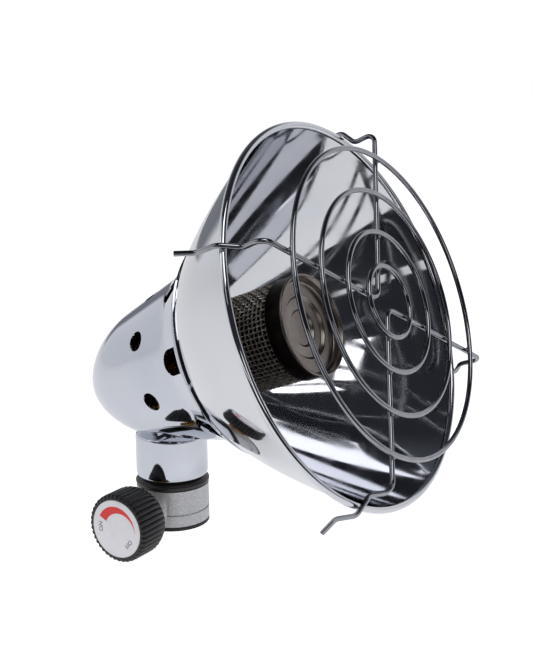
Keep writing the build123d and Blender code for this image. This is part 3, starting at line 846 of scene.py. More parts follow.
@dataclass
class Burner:
    """The gauze burner: woven cylinder, heat-tinted collar, pressed cap and base dish."""

    place: Matrix
    gauze: Finish
    tinted: Finish
    pressed: Finish
    radius: float = 20.2
    front: float = 17.2
    base_front: float = 68.0
    plate: float = 0.8
    collar_front: float = 18.4
    collar_length: float = 7.0
    collar_wall: float = 0.45
    wire_radius: float = 0.31
    long_wires: int = 60
    ring_pitch: float = 2.1
    cap_lip_radius: float = 20.9
    cap_face_radius: float = 18.8
    cap_wall: float = 0.6
    cap_depth: float = 4.0
    cap_corner: float = 1.1
    cap_nose: float = 0.55
    cap_steps: tuple[Point, ...] = ((12.4, 1.3), (7.2, 1.1))
    skirt_radius: float = 19.5
    skirt_length: float = 5.5
    base_height: float = 4.0
    neck_radius: float = 6.55

    def build(self) -> None:
        """Builds the burner's outer pieces."""
        self.weave()
        self.collar()
        self.cap()
        self.base()

    def weave(self) -> None:
        """Weaves the gauze from wires along the burner and wires round it."""
        middle = self.radius - 2 * self.wire_radius
        start = self.collar_front + 1.2
        rings = int((self.base_front - start) / self.ring_pitch)
        curve = bpy.data.curves.new("gauze", "CURVE")
        curve.dimensions = "3D"
        curve.bevel_depth = self.wire_radius * MM
        curve.bevel_resolution = 1
        per_crossing = 4
        for wire in range(self.long_wires):
            angle = FULL_TURN * wire / self.long_wires
            count = rings * per_crossing
            line = []
            for i in range(count + 1):
                swing = self.wire_radius * math.cos(math.pi * (i / per_crossing + wire))
                out = middle + swing
                depth = start + self.ring_pitch * i / per_crossing
                line.append((out * math.cos(angle), out * math.sin(angle), -depth))
            self.add_wire(curve, line, False)
        for ring in range(rings + 1):
            count = self.long_wires * per_crossing
            line = []
            for i in range(count):
                angle = FULL_TURN * i / count
                out = middle - self.wire_radius * math.cos(math.pi * (i / per_crossing + ring))
                line.append((out * math.cos(angle), out * math.sin(angle), -start - ring * self.ring_pitch))
            self.add_wire(curve, line, True)
        mesh = mesh_of(curve)
        mesh.transform(self.place)
        seat(mesh, "woven_gauze", [self.gauze], Body.HEATER, ("burner_mesh",), 60)

    def add_wire(self, curve: bpy.types.Curve, line: list[tuple], cyclic: bool) -> None:
        """Adds one wire to the gauze.

        Args:
            curve: The gauze.
            line: The wire's points, in millimetres.
            cyclic: Whether it closes on itself.
        """
        spline = curve.splines.new("POLY")
        spline.points.add(len(line) - 1)
        for point, (x, y, z) in zip(spline.points, line):
            point.co = (x * MM, y * MM, z * MM, 1)
        spline.use_cyclic_u = cyclic

    def collar(self) -> None:
        """Builds the band round the gauze's front."""
        inner = self.radius + 0.05
        outer = inner + self.collar_wall
        rear = -self.collar_front - self.collar_length
        front = -self.collar_front
        bm = spin_outline([(inner, rear), (outer, rear), (outer, front), (inner, front)], 160)
        bevel_corners(bm, 0.12)
        finishes, stands_for = [self.tinted], ("burner_collar",)
        settle(bm, "tinted_collar", self.place, finishes, Body.HEATER, stands_for)

    def cap(self) -> None:
        """Builds the pressed cap with its stepped dish."""
        lip, wall, face = self.cap_lip_radius, self.cap_wall, self.cap_face_radius
        corner, nose_radius = self.cap_corner, self.cap_nose
        front = -self.front
        floor = front - self.cap_depth
        dish = [(face - corner, floor)]
        level = floor
        for radius, drop in self.cap_steps:
            dish += [(radius + drop * 0.45, level), (radius - drop * 0.45, level - drop)]
            level -= drop
        under = [(radius, height - wall) for radius, height in reversed(dish)]
        nose = arc((lip - nose_radius, front - nose_radius), nose_radius, 150, 0, 8)
        skirt_inner = face - 0.5
        skirt_rear = front - self.skirt_length
        outline = (
            [(0, level)]
            + list(reversed(dish))
            + arc((face - corner, floor + corner), corner, 270, 360, 5)[1:]
            + [(face + 0.25, front - 1.2)]
            + nose
            + [(lip, front - 1.2), (self.skirt_radius, front - 1.2)]
            + [(self.skirt_radius, skirt_rear), (skirt_inner, skirt_rear)]
            + [(skirt_inner, floor - wall)]
            + list(reversed(under))
            + [(0, level - wall)]
        )
        bm = spin_outline(outline, 192, closed=False)
        bevel_corners(bm, 0.25, 3, 24)
        finishes, stands_for = [self.pressed], ("burner_cap",)
        settle(bm, "pressed_cap", self.place, finishes, Body.HEATER, stands_for, 50)

    def base(self) -> None:
        """Builds the dish that carries the gauze."""
        outer = self.radius + 0.05 + self.plate
        rear = -self.base_front - self.plate
        front = -self.base_front
        outline = [
            (self.neck_radius, rear),
            (outer, rear),
            (outer, front + self.base_height),
            (outer - self.plate, front + self.base_height),
            (outer - self.plate, front),
            (self.neck_radius, front),
        ]
        bm = spin_outline(outline, 128)
        bevel_corners(bm, 0.25)
        settle(bm, "base_dish", self.place, [self.pressed], Body.HEATER, ("burner_base",))


@dataclass
class Guard:
    """The wire guard: two bent spoke wires with spring clips, and four welded rings."""

    place: Matrix
    chrome: Finish
    wire_radius: float = 1.0
    turn: float = -29.5
    front: float = 15.8
    rim_radius: float = 75.0
    rings: tuple[float, ...] = (59.6, 43.3, 27.1, 13.8)
    upper_corner: Point = (-4.7, -0.6)
    upper_ends: Point = (-2.3, -2.5)
    lower_corner: Point = (0.9, -1.9)
    lower_ends: Point = (-0.2, -0.3)
    corner_bend: float = 5.0
    clip_bend: float = 4.0
    clip_inset: float = 2.2
    clip: tuple[Point, ...] = ((9.9, -15.0), (5.6, -8.8), (5.8, 0.2), (-1.0, 6.4))
    weld_spread: float = 1.25
    weld_height: float = 0.5
    ring_steps: int = 180

    def at(self, along: float, across: float, height: float) -> Vector:
        """Returns a point in the guard's own directions, in metres in the bowl's frame.

        Args:
            along: Distance along the guard's first arm, in millimetres.
            across: Distance along its second arm, in millimetres.
            height: Distance in front of the rim, in millimetres.
        """
        angle = math.radians(self.turn)
        first = Vector((math.cos(angle), math.sin(angle), 0))
        second = Vector((-math.sin(angle), math.cos(angle), 0))
        return (first * along + second * across + Vector((0, 0, height))) * MM

    def build(self) -> None:
        """Builds the wires, the rings and their welds."""
        self.spoke("upper", -1, self.upper_corner, self.upper_ends)
        self.spoke("lower", 1, self.lower_corner, self.lower_ends)
        ring_height = self.front + 2 * self.wire_radius + 0.05
        for index, radius in enumerate(self.rings):
            section = arc((radius, ring_height), self.wire_radius, 0, 360, 20)[:-1]
            bm = spin_outline(section, self.ring_steps)
            settle(
                bm,
                f"wire_ring_{index + 1}",
                self.place,
                [self.chrome],
                Body.GUARD,
                (f"guard_ring_{index + 1}",),
                80,
            )
        self.welds()

    def spoke(self, label: str, side: int, corner: Point, ends: Point) -> None:
        """Builds one L-shaped wire with a clip at each end.

        Args:
            label: Which of the two it is.
            side: -1 or 1, the side that its first arm runs to.
            corner: Where its two arms meet.
            ends: The clips' distances from the guard's two centre lines.
        """
        name = f"spoke_wire_{label}"
        rim = self.rim_radius - self.clip_inset
        clip = [(rim + out, height) for out, height in self.clip] + [(rim, self.front)]
        first = [self.at(side * reach, ends[0], height) for reach, height in clip]
        second = [self.at(ends[1], -side * reach, height) for reach, height in clip]
        route = first + [self.at(corner[0], corner[1], self.front)] + list(reversed(second))
        radii = [self.clip_bend] * 4 + [self.corner_bend] + [self.clip_bend] * 4
        curve = bpy.data.curves.new(name, "CURVE")
        curve.dimensions = "3D"
        curve.bevel_depth = self.wire_radius * MM
        curve.bevel_resolution = 7
        curve.resolution_u = 10
        curve.use_fill_caps = True
        self.round_corners(curve.splines.new("BEZIER"), route, [r * MM for r in radii])
        mesh = mesh_of(curve)
        mesh.transform(self.place)
        seat(mesh, name, [self.chrome], Body.GUARD, (f"guard_wire_{label}",), 60)

    def round_corners(self, spline: bpy.types.Spline, route: list[Vector], radii: list[float]) -> None:
        """Lays a wire along straight runs that arcs join.

        Args:
            spline: The Bezier spline of the wire.
            route: Its corners and ends, in metres.
            radii: The bend radius at each corner, in metres.
        """
        stops = [(route[0], None, route[1])]
        for before, corner, after, radius in zip(route, route[1:], route[2:], radii):
            back = (before - corner).normalized()
            ahead = (after - corner).normalized()
            half = back.angle(ahead) / 2
            reach = radius / math.tan(half)
            handle = 4 / 3 * math.tan((math.pi - 2 * half) / 4) * radius
            enter = corner + back * reach
            leave = corner + ahead * reach
            stops.append((enter, enter + back * handle, enter - back * handle))
            stops.append((leave, leave - ahead * handle, leave + ahead * handle))
        stops.append((route[-1], route[-2], None))
        spline.bezier_points.add(len(stops) - 1)
        for point, (place, left, right) in zip(spline.bezier_points, stops):
            point.co = place
            point.handle_left_type = "FREE"
            point.handle_right_type = "FREE"
            point.handle_left = left if left is not None else place
            point.handle_right = right if right is not None else place
        first, last = spline.bezier_points[0], spline.bezier_points[-1]
        first.handle_right = first.co.lerp(stops[1][0], 1 / 3)
        last.handle_left = last.co.lerp(stops[-2][0], 1 / 3)

    def crossing(self, corner: Point, end: Point, radius: float) -> Point:
        """Returns where an arm crosses a ring, seen along the bowl's axis.

        Args:
            corner: The arm's inner end.
            end: Its outer end.
            radius: The ring's radius.
        """
        inner, run = Vector(corner), Vector(end) - Vector(corner)
        middle = inner.dot(run) / run.length_squared
        reach = math.sqrt(middle**2 - (inner.length_squared - radius**2) / run.length_squared)
        return tuple(inner + run * (reach - middle))

    def welds(self) -> None:
        """Builds the small resistance welds where the rings cross the spokes."""
        bm = bmesh.new()
        height = self.front + self.wire_radius
        reach = self.rim_radius - self.clip_inset
        flat = Matrix.Diagonal((self.weld_spread, self.weld_spread, self.weld_height, 1.0))
        wires = ((-1, self.upper_corner, self.upper_ends), (1, self.lower_corner, self.lower_ends))
        for side, corner, ends in wires:
            for end in ((side * reach, ends[0]), (ends[1], -side * reach)):
                for radius in self.rings:
                    spot = self.at(*self.crossing(corner, end, radius), height)
                    bmesh.ops.create_uvsphere(
                        bm,
                        u_segments=16,
                        v_segments=10,
                        radius=self.wire_radius * MM,
                        matrix=Matrix.Translation(spot) @ flat,
                    )
        settle(bm, "ring_welds", self.place, [self.chrome], Body.GUARD, (), 80)


@dataclass
class ValveGroup:
    """What stands on the cartridge: base seal, cast valve, washer and chromed cup."""

    nodes: dict
    chrome: Finish
    cast: Finish
    rubber: Finish
    washer: Finish
    brass: Finish
    housing: Housing
    valve_radius: float = 15.6
    valve_height: float = 17.4
    boss_radius: float = 8.75
    seal_height: float = 1.8
    washer_radius: float = 15.9
    washer_edge: float = 1.5
    washer_top_radius: float = 13.3
    cup_base: float = 20.7
    cup_wall: float = 1.2
    spigot_radius: float = 5.05

    def build(self) -> None:
        """Builds the group's pieces from the bottom up."""
        here = Matrix.Identity(4)
        seal = spin_outline(
            [
                (self.boss_radius, 0),
                (self.valve_radius, 0),
                (self.valve_radius, self.seal_height),
                (self.boss_radius, self.seal_height),
            ],
            128,
        )
        bevel_corners(seal, 0.35)
        settle(seal, "rubber_base_ring", here, [self.rubber], Body.HEATER, ("base_seal",))
        smoothed_copy(self.nodes["valve_body"], self.cast, Body.HEATER, 0.0)
        smoothed_copy(self.nodes["gland_nut"], self.brass, Body.HEATER, 0.22)
        self.build_washer(here)
        self.build_cup(here)

    def build_washer(self, here: Matrix) -> None:
        """Builds the bevelled washer.

        Args:
            here: The valve's frame.
        """
        rim = arc(
            (self.washer_radius - self.washer_edge, self.valve_height + self.washer_edge),
            self.washer_edge,
            -70,
            20,
            8,
        )
        outline = [(self.spigot_radius, self.valve_height), (14.4, self.valve_height)]
        outline += rim + [(self.washer_top_radius, self.cup_base), (self.spigot_radius, self.cup_base)]
        bm = spin_outline(outline, 144)
        bevel_corners(bm, 0.2)
        settle(bm, "bevelled_washer", here, [self.washer], Body.HEATER, ("seal_washer",))

    def build_cup(self, here: Matrix) -> None:
        """Builds the cup and cuts its top to the housing's underside.

        Args:
            here: The valve's frame.
        """
        base = self.cup_base
        wall = self.cup_wall
        foot = arc((13.0, base + 2.7), 2.5, -90, 0, 10)
        outer = [(self.spigot_radius, base)] + [(r, z + (-0.2 if z < base + 2.4 else 0)) for r, z in foot]
        outer = [(r, max(z, base)) for r, z in outer]
        shoulder = arc((13.45, base + 18.0), 2.0, 0, 55, 6)
        top = [(12.2, base + 23.0)]
        inner = [(12.2 - wall, base + 23.0), (14.2, base + 17.6), (14.2, base + 3.2), (12.0, base + wall)]
        bm = spin_outline(outer + shoulder + top + inner + [(self.spigot_radius, base + wall)], 160)
        finishes, stands_for = [self.chrome], ("mounting_cup",)
        cup = settle(bm, "chromed_cup", here, finishes, Body.HEATER, stands_for)
        cut(cup, self.housing.closed(0.05), self.housing.place)
        cup.data.set_sharp_from_angle(angle=math.radians(40))


@dataclass
class Regulator:
    """The ribbed knob with its dial, on the regulator's axis."""

    place: Matrix
    plastic: Finish
    dial: Finish
    red_ink: Finish
    black_ink: Finish
    face: float = 38.7
    rear: float = 22.7
    radius: float = 14.6
    rear_radius: float = 13.2
    rear_slope: float = 3.5
    rib_count: int = 40
    rib_height: float = 0.75
    steps_per_rib: int = 8
    dial_radius: float = 12.25
    dial_thickness: float = 0.8
    ink_height: float = 0.03
    screw_bore: float = 1.55
    spindle_bore: float = 2.6
    hub_radius: float = 5.2
    hollow_radius: float = 11.0
    hollow_floor: float = 33.0
    rear_edge_radius: float = 12.4
    text_size: float = 2.7
    text_radius: float = 8.1
    on_angle: float = 182.0
    off_angle: float = -42.0

    def build(self) -> None:
        """Builds the knob, the dial and its marks."""
        self.knob()
        self.disc()
        self.wedge()
        self.mark("ON", "dial_mark_on", self.on_angle)
        self.mark("OFF", "dial_mark_off", self.off_angle)

    def knob(self) -> None:
        """Builds the knob: a spun body whose outer wall is drawn into ribs."""
        dial_seat = self.face - self.dial_thickness
        outline = [
            (self.screw_bore, dial_seat),
            (self.screw_bore, self.hollow_floor),
            (self.spindle_bore, self.hollow_floor),
            (self.spindle_bore, self.rear),
            (self.hub_radius, self.rear),
            (self.hub_radius, self.hollow_floor),
            (self.hollow_radius, self.hollow_floor),
            (self.hollow_radius, self.rear),
            (self.rear_edge_radius, self.rear),
            (self.rear_radius, self.rear + 0.3),
            (self.rear_radius + 0.5, self.rear + 1.4),
            (self.radius, self.rear + self.rear_slope),
            (self.radius, self.rear + 8.0),
            (self.radius, self.face - 1.5),
            (self.radius - 0.2, self.face - 0.8),
            (self.radius - 0.7, self.face - 0.25),
            (self.radius - 1.3, self.face),
            (self.dial_radius + 0.12, self.face),
            (self.dial_radius + 0.05, self.face - 0.12),
            (self.dial_radius + 0.05, dial_seat),
        ]
        bm = spin_outline(outline, self.rib_count * self.steps_per_rib)
        for vert in bm.verts:
            out = vert.co.xy.length / MM
            if out < self.rear_radius - 0.2:
                continue
            weight = min((out - self.rear_radius + 0.4) / 0.8, 1.0)
            angle = math.atan2(vert.co.y, vert.co.x)
            valley = 1 - abs(math.cos(self.rib_count * angle / 2)) ** 0.8
            shrink = 1 - self.rib_height * weight * valley / out
            vert.co.x *= shrink
            vert.co.y *= shrink
        finishes, stands_for = [self.plastic], ("control_knob",)
        settle(bm, "ribbed_knob", self.place, finishes, Body.KNOB, stands_for, 50)

    def disc(self) -> None:
        """Builds the white disc in the knob's face."""
        seat_height = self.face - self.dial_thickness
        top = self.face - self.ink_height
        outline = [(0, seat_height), (self.dial_radius, seat_height), (self.dial_radius, top), (0, top)]
        bm = spin_outline(outline, 128, False)
        bevel_corners(bm, 0.12)
        settle(bm, "white_dial", self.place, [self.dial], Body.KNOB, ("dial_disc",))

    def wedge(self) -> None:
        """Builds the red wedge that widens towards the full setting."""
        bm = bmesh.new()
        start, end, steps = -5.0, 154.0, 60
        outer_radius, widest = 9.6, 3.8
        rows = []
        for i in range(steps + 1):
            share = i / steps
            angle = math.radians(start + (end - start) * share)
            width = max(widest * math.sin(share * math.pi / 2) ** 1.4, 0.02)
            rows.append(
                [
                    bm.verts.new((math.cos(angle) * r * MM, math.sin(angle) * r * MM, 0))
                    for r in (outer_radius - width, outer_radius)
                ]
            )
        for (inner_a, outer_a), (inner_b, outer_b) in zip(rows, rows[1:]):
            bm.faces.new((inner_a, outer_a, outer_b, inner_b))
        self.print_on(bm, "dial_wedge", self.red_ink)

    def mark(self, text: str, name: str, angle: float) -> None:
        """Builds a word on the dial that reads clockwise.

        Args:
            text: The word.
            name: The piece's name.
            angle: Where its middle is, in degrees from the right towards the top.
        """
        curve = bpy.data.curves.new(name, "FONT")
        curve.body = text
        curve.size = self.text_size * MM
        curve.align_x = "CENTER"
        curve.align_y = "CENTER"
        curve.resolution_u = 4
        mesh = mesh_of(curve)
        bm = bmesh.new()
        bm.from_mesh(mesh)
        bpy.data.meshes.remove(mesh)
        turned = math.radians(angle)
        spot = Vector((math.cos(turned), math.sin(turned), 0)) * self.text_radius * MM
        turn = Matrix.Rotation(turned - math.pi / 2, 4, "Z")
        bmesh.ops.transform(bm, matrix=Matrix.Translation(spot) @ turn, verts=bm.verts)
        self.print_on(bm, name, self.black_ink)

    def print_on(self, bm: bmesh.types.BMesh, name: str, ink: Finish) -> None:
        """Gives a flat mark the thickness of ink and lays it on the dial.

        Args:
            bm: The mark, flat round the dial's centre.
            name: The piece's name.
            ink: Its finish.
        """
        bmesh.ops.remove_doubles(bm, verts=bm.verts, dist=MM / 1000)
        grown = bmesh.ops.extrude_face_region(bm, geom=list(bm.faces), use_keep_orig=True)["geom"]
        moved = [item for item in grown if isinstance(item, bmesh.types.BMVert)]
        bmesh.ops.translate(bm, verts=moved, vec=(0, 0, self.ink_height * MM))
        bmesh.ops.translate(bm, verts=bm.verts, vec=(0, 0, (self.face - self.ink_height) * MM))
        bmesh.ops.recalc_face_normals(bm, faces=bm.faces)
        settle(bm, name, self.place, [ink], Body.KNOB)


@dataclass
class Studio:
    """A pale floor, soft light and the camera at the photograph's angle."""

    azimuth: float = -57.14
    elevation: float = 12.66
    roll: float = -0.68
    camera_place: tuple[float, float, float] = (-392.91, -303.16, 193.69)
    focal_px: float = 1200.0
    frame_px: float = 666.0
    sensor_mm: float = 36.0
    floor_size: float = 12.0
    floor_height: float = 0.0
    floor_glow: float = 0.62
    floor_glow_seen: float = 0.95
    head: tuple[float, float, float] = (0.0, -0.0874, 0.1005)
    card_bearing: float = -32.0
    card_gap: float = 0.14
    card_width: float = 1.0
    card_length: float = 1.3

    def towards(self, bearing: float, rise: float) -> Vector:
        """Returns a direction, with bearings counted from the heater's front towards +X.

        Args:
            bearing: The bearing, in degrees.
            rise: The angle above the floor, in degrees.
        """
        a, e = math.radians(bearing), math.radians(rise)
        return Vector((math.sin(a) * math.cos(e), -math.cos(a) * math.cos(e), math.sin(e)))

    def build(self) -> None:
        """Builds the studio."""
        scene = bpy.context.scene
        scene.view_settings.view_transform = "Standard"
        self.camera(scene)
        self.floor(scene)
        self.dark_card(scene)
        self.surroundings(scene)
        lights = (
            ("softbox_main", self.towards(-28, 58), 1.1, (0.46, 0.62), 2.4),
            ("softbox_strip", self.towards(-63, 47), 1.1, (0.07, 0.60), 2.4),
            ("bounce_card", self.towards(-26, 6), 1.0, (0.40, 0.40), 1.0),
            ("fill_rear", self.towards(-125, 40), 1.2, (0.8, 0.5), 1.0),
        )
        for name, towards, distance, (width, height), brightness in lights:
            self.softbox(scene, name, towards, distance, width, height, brightness)

    def camera(self, scene: bpy.types.Scene) -> None:
        """Places the camera.

        Args:
            scene: The scene.
        """
        a, r = math.radians(self.azimuth), math.radians(self.roll)
        back = self.towards(self.azimuth, self.elevation)
        level = Vector((math.cos(a), math.sin(a), 0))
        upright = back.cross(level)
        right = level * math.cos(r) + upright * math.sin(r)
        up = upright * math.cos(r) - level * math.sin(r)
        data = bpy.data.cameras.new("camera")
        data.sensor_width = self.sensor_mm
        data.lens = self.focal_px / self.frame_px * self.sensor_mm
        data.clip_start = 0.01
        data.clip_end = 100
        camera = bpy.data.objects.new("camera", data)
        turn = Matrix((right, up, back)).transposed().to_4x4()
        camera.matrix_world = Matrix.Translation(Vector(self.camera_place) * MM) @ turn
        scene.collection.objects.link(camera)
        scene.camera = camera

    def floor(self, scene: bpy.types.Scene) -> None:
        """Lays the pale floor, which glows a little as a light table does.

        Args:
            scene: The scene.
        """
        bm = bmesh.new()
        bmesh.ops.create_grid(bm, x_segments=1, y_segments=1, size=self.floor_size / 2)
        made, shader = self.matte("pale_floor", "#F4F4F5")
        shader.inputs["Specular IOR Level"].default_value = 0.0
        shader.inputs["Emission Color"].default_value = linear("#FFFFFF")
        seen = add_node(made.node_tree, "ShaderNodeLightPath").outputs["Is Camera Ray"]
        glow = {"Value": seen, "To Min": self.floor_glow, "To Max": self.floor_glow_seen}
        glowing = add_node(made.node_tree, "ShaderNodeMapRange", inputs=glow)
        made.node_tree.links.new(glowing.outputs["Result"], shader.inputs["Emission Strength"])
        floor = self.stand(scene, bm, "floor", made)
        floor.location.z = self.floor_height
        floor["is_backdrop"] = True

    def dark_card(self, scene: bpy.types.Scene) -> None:
        """Lays a black card before the heater, which shows in its mirrors and nowhere else.

        Args:
            scene: The scene.
        """
        bm = bmesh.new()
        ahead = self.towards(self.card_bearing, 0)
        aside = Vector((-ahead.y, ahead.x, 0))
        foot = Vector(self.head) + ahead * self.card_gap
        foot.z = self.floor_height + MM / 2
        half = self.card_width / 2
        corners = [foot - aside * half, foot + aside * half]
        corners += [corner + ahead * self.card_length for corner in reversed(corners)]
        bm.faces.new([bm.verts.new(corner) for corner in corners])
        made, _ = self.matte("black_card", "#2E3034")
        card = self.stand(scene, bm, "dark_card", made)
        card.visible_camera = False
        card.visible_diffuse = False
        card.visible_shadow = False
        card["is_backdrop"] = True

    def matte(self, name: str, colour: str) -> tuple[bpy.types.Material, bpy.types.Node]:
        """Makes a plain material without gloss for the studio's own things.

        Args:
            name: The material's name.
            colour: Its colour, sRGB hex.

        Returns:
            The material and its principled shader.
        """
        made = bpy.data.materials.new(name)
        made.use_nodes = True
        shader = made.node_tree.nodes["Principled BSDF"]
        shader.inputs["Base Color"].default_value = linear(colour)
        shader.inputs["Roughness"].default_value = 1.0
        return made, shader

    def stand(
        self, scene: bpy.types.Scene, bm: bmesh.types.BMesh, name: str, made: bpy.types.Material
    ) -> bpy.types.Object:
        """Makes one of the studio's own things.

        Args:
            scene: The scene.
            bm: Its shape, in metres.
            name: Its name.
            made: Its material.

        Returns:
            The new object.
        """
        mesh = bpy.data.meshes.new(name)
        bm.to_mesh(mesh)
        bm.free()
        mesh.materials.append(made)
        thing = bpy.data.objects.new(name, mesh)
        scene.collection.objects.link(thing)
        return thing

    def surroundings(self, scene: bpy.types.Scene) -> None:
        """Makes the room: pale behind the heater, dark overhead and behind the camera.

        Args:
            scene: The scene.
        """
        world = bpy.data.worlds.new("studio")
        world.use_nodes = True
        scene.world = world
        tree = world.node_tree
        way = add_node(tree, "ShaderNodeTexCoord").outputs["Generated"]
        room = linear("#E4E5E9")
        for bearing, rise, start, end, colour in (
            (142.0, 2.0, 17.0, 9.0, "#7E8087"),
            (0.0, 90.0, 62.0, 48.0, "#4C4F55"),
            (-35.0, 30.0, 88.0, 68.0, "#2B2D32"),
        ):
            room = self.darken(tree, way, room, self.towards(bearing, rise), start, end, colour)
        seen = add_node(tree, "ShaderNodeLightPath").outputs["Is Camera Ray"]
        final = add_node(
            tree,
            "ShaderNodeMix",
            {"data_type": "RGBA"},
            {"Factor": seen, "A": room, "B": linear("#FFFFFF")},
        ).outputs["Result"]
        tree.links.new(final, tree.nodes["Background"].inputs["Color"])

    def darken(
        self,
        tree: bpy.types.NodeTree,
        way: bpy.types.NodeSocket,
        room: bpy.types.NodeSocket | tuple,
        towards: Vector,
        start: float,
        end: float,
        colour: str,
    ) -> bpy.types.NodeSocket:
        """Hangs a round dark cloth with a soft edge in the room.

        Args:
            tree: The world's node tree.
            way: The direction looked in.
            room: The room's colour so far.
            towards: The direction of the cloth's middle.
            start: How far from its middle it begins to show, in degrees.
            end: How far from its middle it shows fully, in degrees.
            colour: Its colour, sRGB hex.

        Returns:
            The room's colour with the cloth.
        """
        near = add_node(
            tree, "ShaderNodeVectorMath", {"operation": "DOT_PRODUCT"}, {0: way, 1: towards}
        ).outputs["Value"]
        spread = {
            "Value": near,
            "From Min": math.cos(math.radians(start)),
            "From Max": math.cos(math.radians(end)),
        }
        shown = add_node(
            tree, "ShaderNodeMapRange", {"interpolation_type": "SMOOTHSTEP"}, spread
        ).outputs["Result"]
        return add_node(
            tree,
            "ShaderNodeMix",
            {"data_type": "RGBA"},
            {"Factor": shown, "A": room, "B": linear(colour)},
        ).outputs["Result"]

    def softbox(
        self,
        scene: bpy.types.Scene,
        name: str,
        towards: Vector,
        distance: float,
        width: float,
        height: float,
        brightness: float,
    ) -> None:
        """Hangs a rectangular soft light that faces the head.

        Args:
            scene: The scene.
            name: The light's name.
            towards: The direction from the head to the light.
            distance: How far it hangs from the head, in metres.
            width: Its width, in metres.
            height: Its height, in metres.
            brightness: How bright it shows in a mirror, with 1 for white.
        """
        data = bpy.data.lights.new(name, "AREA")
        data.shape = "RECTANGLE"
        data.size = width
        data.size_y = height
        data.energy = brightness * math.pi * width * height
        light = bpy.data.objects.new(name, data)
        light.location = Vector(self.head) + towards * distance
        light.rotation_mode = "QUATERNION"
        light.rotation_quaternion = (-towards).to_track_quat("-Z", "Y")
        scene.collection.objects.link(light)


def dress_inner_nodes(nodes: dict, finishes: dict[str, Finish]) -> None:
    """Gives the pieces inside the heater, which keep their construction shape, their finishes.

    Args:
        nodes: The construction nodes by name.
        finishes: The finish of each inner node.
    """
    for name, finish in finishes.items():
        mesh = nodes[name].data
        mesh.materials.clear()
        mesh.materials.append(finish.material())
        log.info("%s: construction mesh in %s", name, finish.name)


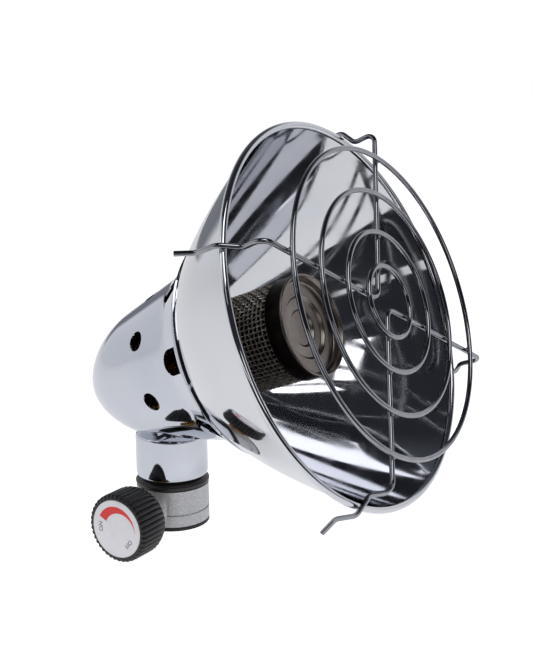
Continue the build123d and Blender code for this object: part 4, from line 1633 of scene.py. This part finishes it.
def main() -> None:
    """Builds the heater's sub-assemblies in order, then the studio."""
    logging.basicConfig(level=logging.INFO, format="%(name)s: %(message)s")
    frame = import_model()
    cad_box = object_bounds()
    nodes = frame["nodes"]
    joints = {joint["name"]: joint for joint in frame["joints"]}
    guard_joint = joints["guard_turn"]
    knob_joint = joints["knob_turn"]
    head = local_frame(Vector(guard_joint["pos_m"]), Vector(guard_joint["axis"]))
    shaft = local_frame(Vector(knob_joint["pos_m"]), Vector(knob_joint["axis"]))
    head_rows = tuple(tuple(row) for row in head)

    # Spun sheet polished to a mirror: rings from the spinning tool ripple what it reflects
    bowl_inside = TurnedFinish(
        "polished_spun_aluminium",
        "#D6D8DB",
        "#C6C9CD",
        roughness=0.10,
        gloss_spread=0.05,
        metallic=1.0,
        grain_mm=30,
        grain_height_mm=0.01,
        axis=head_rows,
        ring_mm=5.0,
        ring_height_mm=0.03,
        anisotropy=0.3,
        ridge_mm=5.5,
        ridge_height_mm=0.11,
    )
    # Bright plating over polished metal: nearly clean, with the faint swell of the sheet below
    bowl_outside = TurnedFinish(
        "plated_bowl_outside",
        "#D3D4D9",
        "#CBCDD3",
        roughness=0.06,
        gloss_spread=0.02,
        metallic=1.0,
        grain_mm=40,
        grain_height_mm=0.008,
        axis=head_rows,
        ring_mm=4.0,
        ring_height_mm=0.004,
    )
    # Plated over polished sheet: a sharp mirror that swells a little with the drawn metal
    chrome = Finish(
        "chrome_plate",
        "#C9CCD4",
        "#C0C4CD",
        roughness=0.05,
        gloss_spread=0.02,
        metallic=1.0,
        grain_mm=25,
        grain_height_mm=0.006,
    )
    # Plated over drawn wire, which keeps the die's faint waves: a sharp mirror, but greyer, its colour
    # darkened as painted shade so that what it reflects looks dark
    guard_chrome_painted_shade = Finish(
        "chromed_wire_painted_shade",
        "#9A9CA1",
        "#8A8C92",
        roughness=0.06,
        gloss_spread=0.02,
        metallic=1.0,
        grain_mm=6,
        grain_height_mm=0.004,
    )
    # Woven stainless wire, browned by the flame and bright on its crowns
    gauze = Finish(
        "woven_stainless_wire",
        "#F4F0E8",
        "#B9AA98",
        roughness=0.3,
        gloss_spread=0.1,
        metallic=1.0,
        grain_mm=7,
        grain_height_mm=0.01,
    )
    # Sheet that the flame has scaled: nearly black, with a dull and uneven sheen
    tinted = Finish(
        "heat_blackened_steel",
        "#2A211C",
        "#120E0C",
        roughness=0.36,
        gloss_spread=0.08,
        metallic=0.9,
        grain_mm=4,
        grain_height_mm=0.006,
    )
    # Pressed from rolled sheet and warmed by the flame: a brownish satin with faint rings
    pressed = TurnedFinish(
        "pressed_stainless",
        "#8E8781",
        "#736B65",
        roughness=0.24,
        gloss_spread=0.06,
        metallic=1.0,
        grain_mm=9,
        grain_height_mm=0.008,
        axis=head_rows,
        ring_mm=0.9,
        ring_height_mm=0.002,
    )
    # Punched sheet that stands in the flame: brown oxide with hardly any gloss left, made nearly black as
    # painted shade inside the gauze
    screen = Finish(
        "oxide_and_painted_shade_screen", "#2B2622", "#17130F", roughness=0.5, gloss_spread=0.08, metallic=0.8, grain_mm=5
    )
    # Die cast and tumbled: a fine pebbled skin that scatters its highlights
    cast = Finish(
        "cast_zinc",
        "#D2D2D4",
        "#B6B6B9",
        roughness=0.46,
        gloss_spread=0.08,
        metallic=0.4,
        grain_mm=0.9,
        grain_height_mm=0.03,
    )
    # Moulded: black and matt, with the fine texture of the mould
    rubber = Finish(
        "moulded_rubber",
        "#101010",
        "#1A1A1A",
        roughness=0.55,
        gloss_spread=0.06,
        grain_mm=0.5,
        grain_height_mm=0.01,
    )
    # Stamped from pressed fibre: dark brown, with a soft bloom on its cut bevel
    washer = Finish(
        "dark_fibre_washer",
        "#2B2624",
        "#1D1A18",
        roughness=0.42,
        gloss_spread=0.06,
        grain_mm=0.6,
        grain_height_mm=0.01,
    )
    # Turned from bar: bright and warm, a little dulled by handling
    brass = Finish(
        "turned_brass", "#C79A57", "#A87B3E", roughness=0.24, gloss_spread=0.06, metallic=1.0, grain_mm=3
    )
    # Sintered from powder: open pores between the grains make it matt
    bronze = Finish(
        "sintered_bronze",
        "#8A6340",
        "#6B4A2E",
        roughness=0.6,
        gloss_spread=0.08,
        metallic=1.0,
        grain_mm=0.2,
        grain_height_mm=0.05,
    )
    # Turned from bar and left bare: a clean grey satin
    steel = Finish(
        "turned_steel", "#A9A9A8", "#8E8E8D", roughness=0.26, gloss_spread=0.06, metallic=1.0, grain_mm=2
    )
    # Pressed from soft sheet: a pale satin that the press has rubbed unevenly
    aluminium = Finish(
        "pressed_aluminium",
        "#C4C5C8",
        "#B0B1B5",
        roughness=0.3,
        gloss_spread=0.06,
        metallic=1.0,
        grain_mm=3,
    )
    # Moulded in a spark-eroded mould: deep black with a soft sheen on the ribs
    plastic = Finish(
        "moulded_black_nylon",
        "#0B0B0C",
        "#131315",
        roughness=0.36,
        gloss_spread=0.06,
        grain_mm=0.6,
        grain_height_mm=0.008,
    )
    # Moulded in a polished mould: a smooth white with a soft gloss
    dial = Finish("white_acrylic", "#F6F5FA", "#EFEEF3", roughness=0.28, gloss_spread=0.04, grain_mm=5)
    # Pad printed: thin, even coats that are duller than the dial below
    red_ink = Finish("red_ink", "#F0332E", "#E42B27", roughness=0.4, grain_mm=1.5)
    black_ink = Finish("black_ink", "#2A2A2C", "#202022", roughness=0.45, grain_mm=1.5)

    Studio(floor_height=cad_box[0][2]).build()
    bowl = Reflector(head, bowl_inside, bowl_outside)
    bowl.build()
    housing = Housing(head, chrome, bowl)
    housing.build()
    Burner(head, gauze, tinted, pressed).build()
    Guard(head, guard_chrome_painted_shade).build()
    ValveGroup(nodes, chrome, cast, rubber, washer, brass, housing).build()
    Regulator(shaft, plastic, dial, red_ink, black_ink).build()
    inner = {
        "burner_screen": screen,
        "neck_nut": brass,
        "mixing_tube": brass,
        "gas_jet": brass,
        "clamp_nut": brass,
        "depressor_pin": brass,
        "jet_filter": bronze,
        "saddle_washer": aluminium,
        "socket_oring": rubber,
        "spindle_oring": rubber,
        "spindle": steel,
        "needle": steel,
        "knob_screw": steel,
    }
    dress_inner_nodes(nodes, inner)


if __name__ == "__main__":
    main()
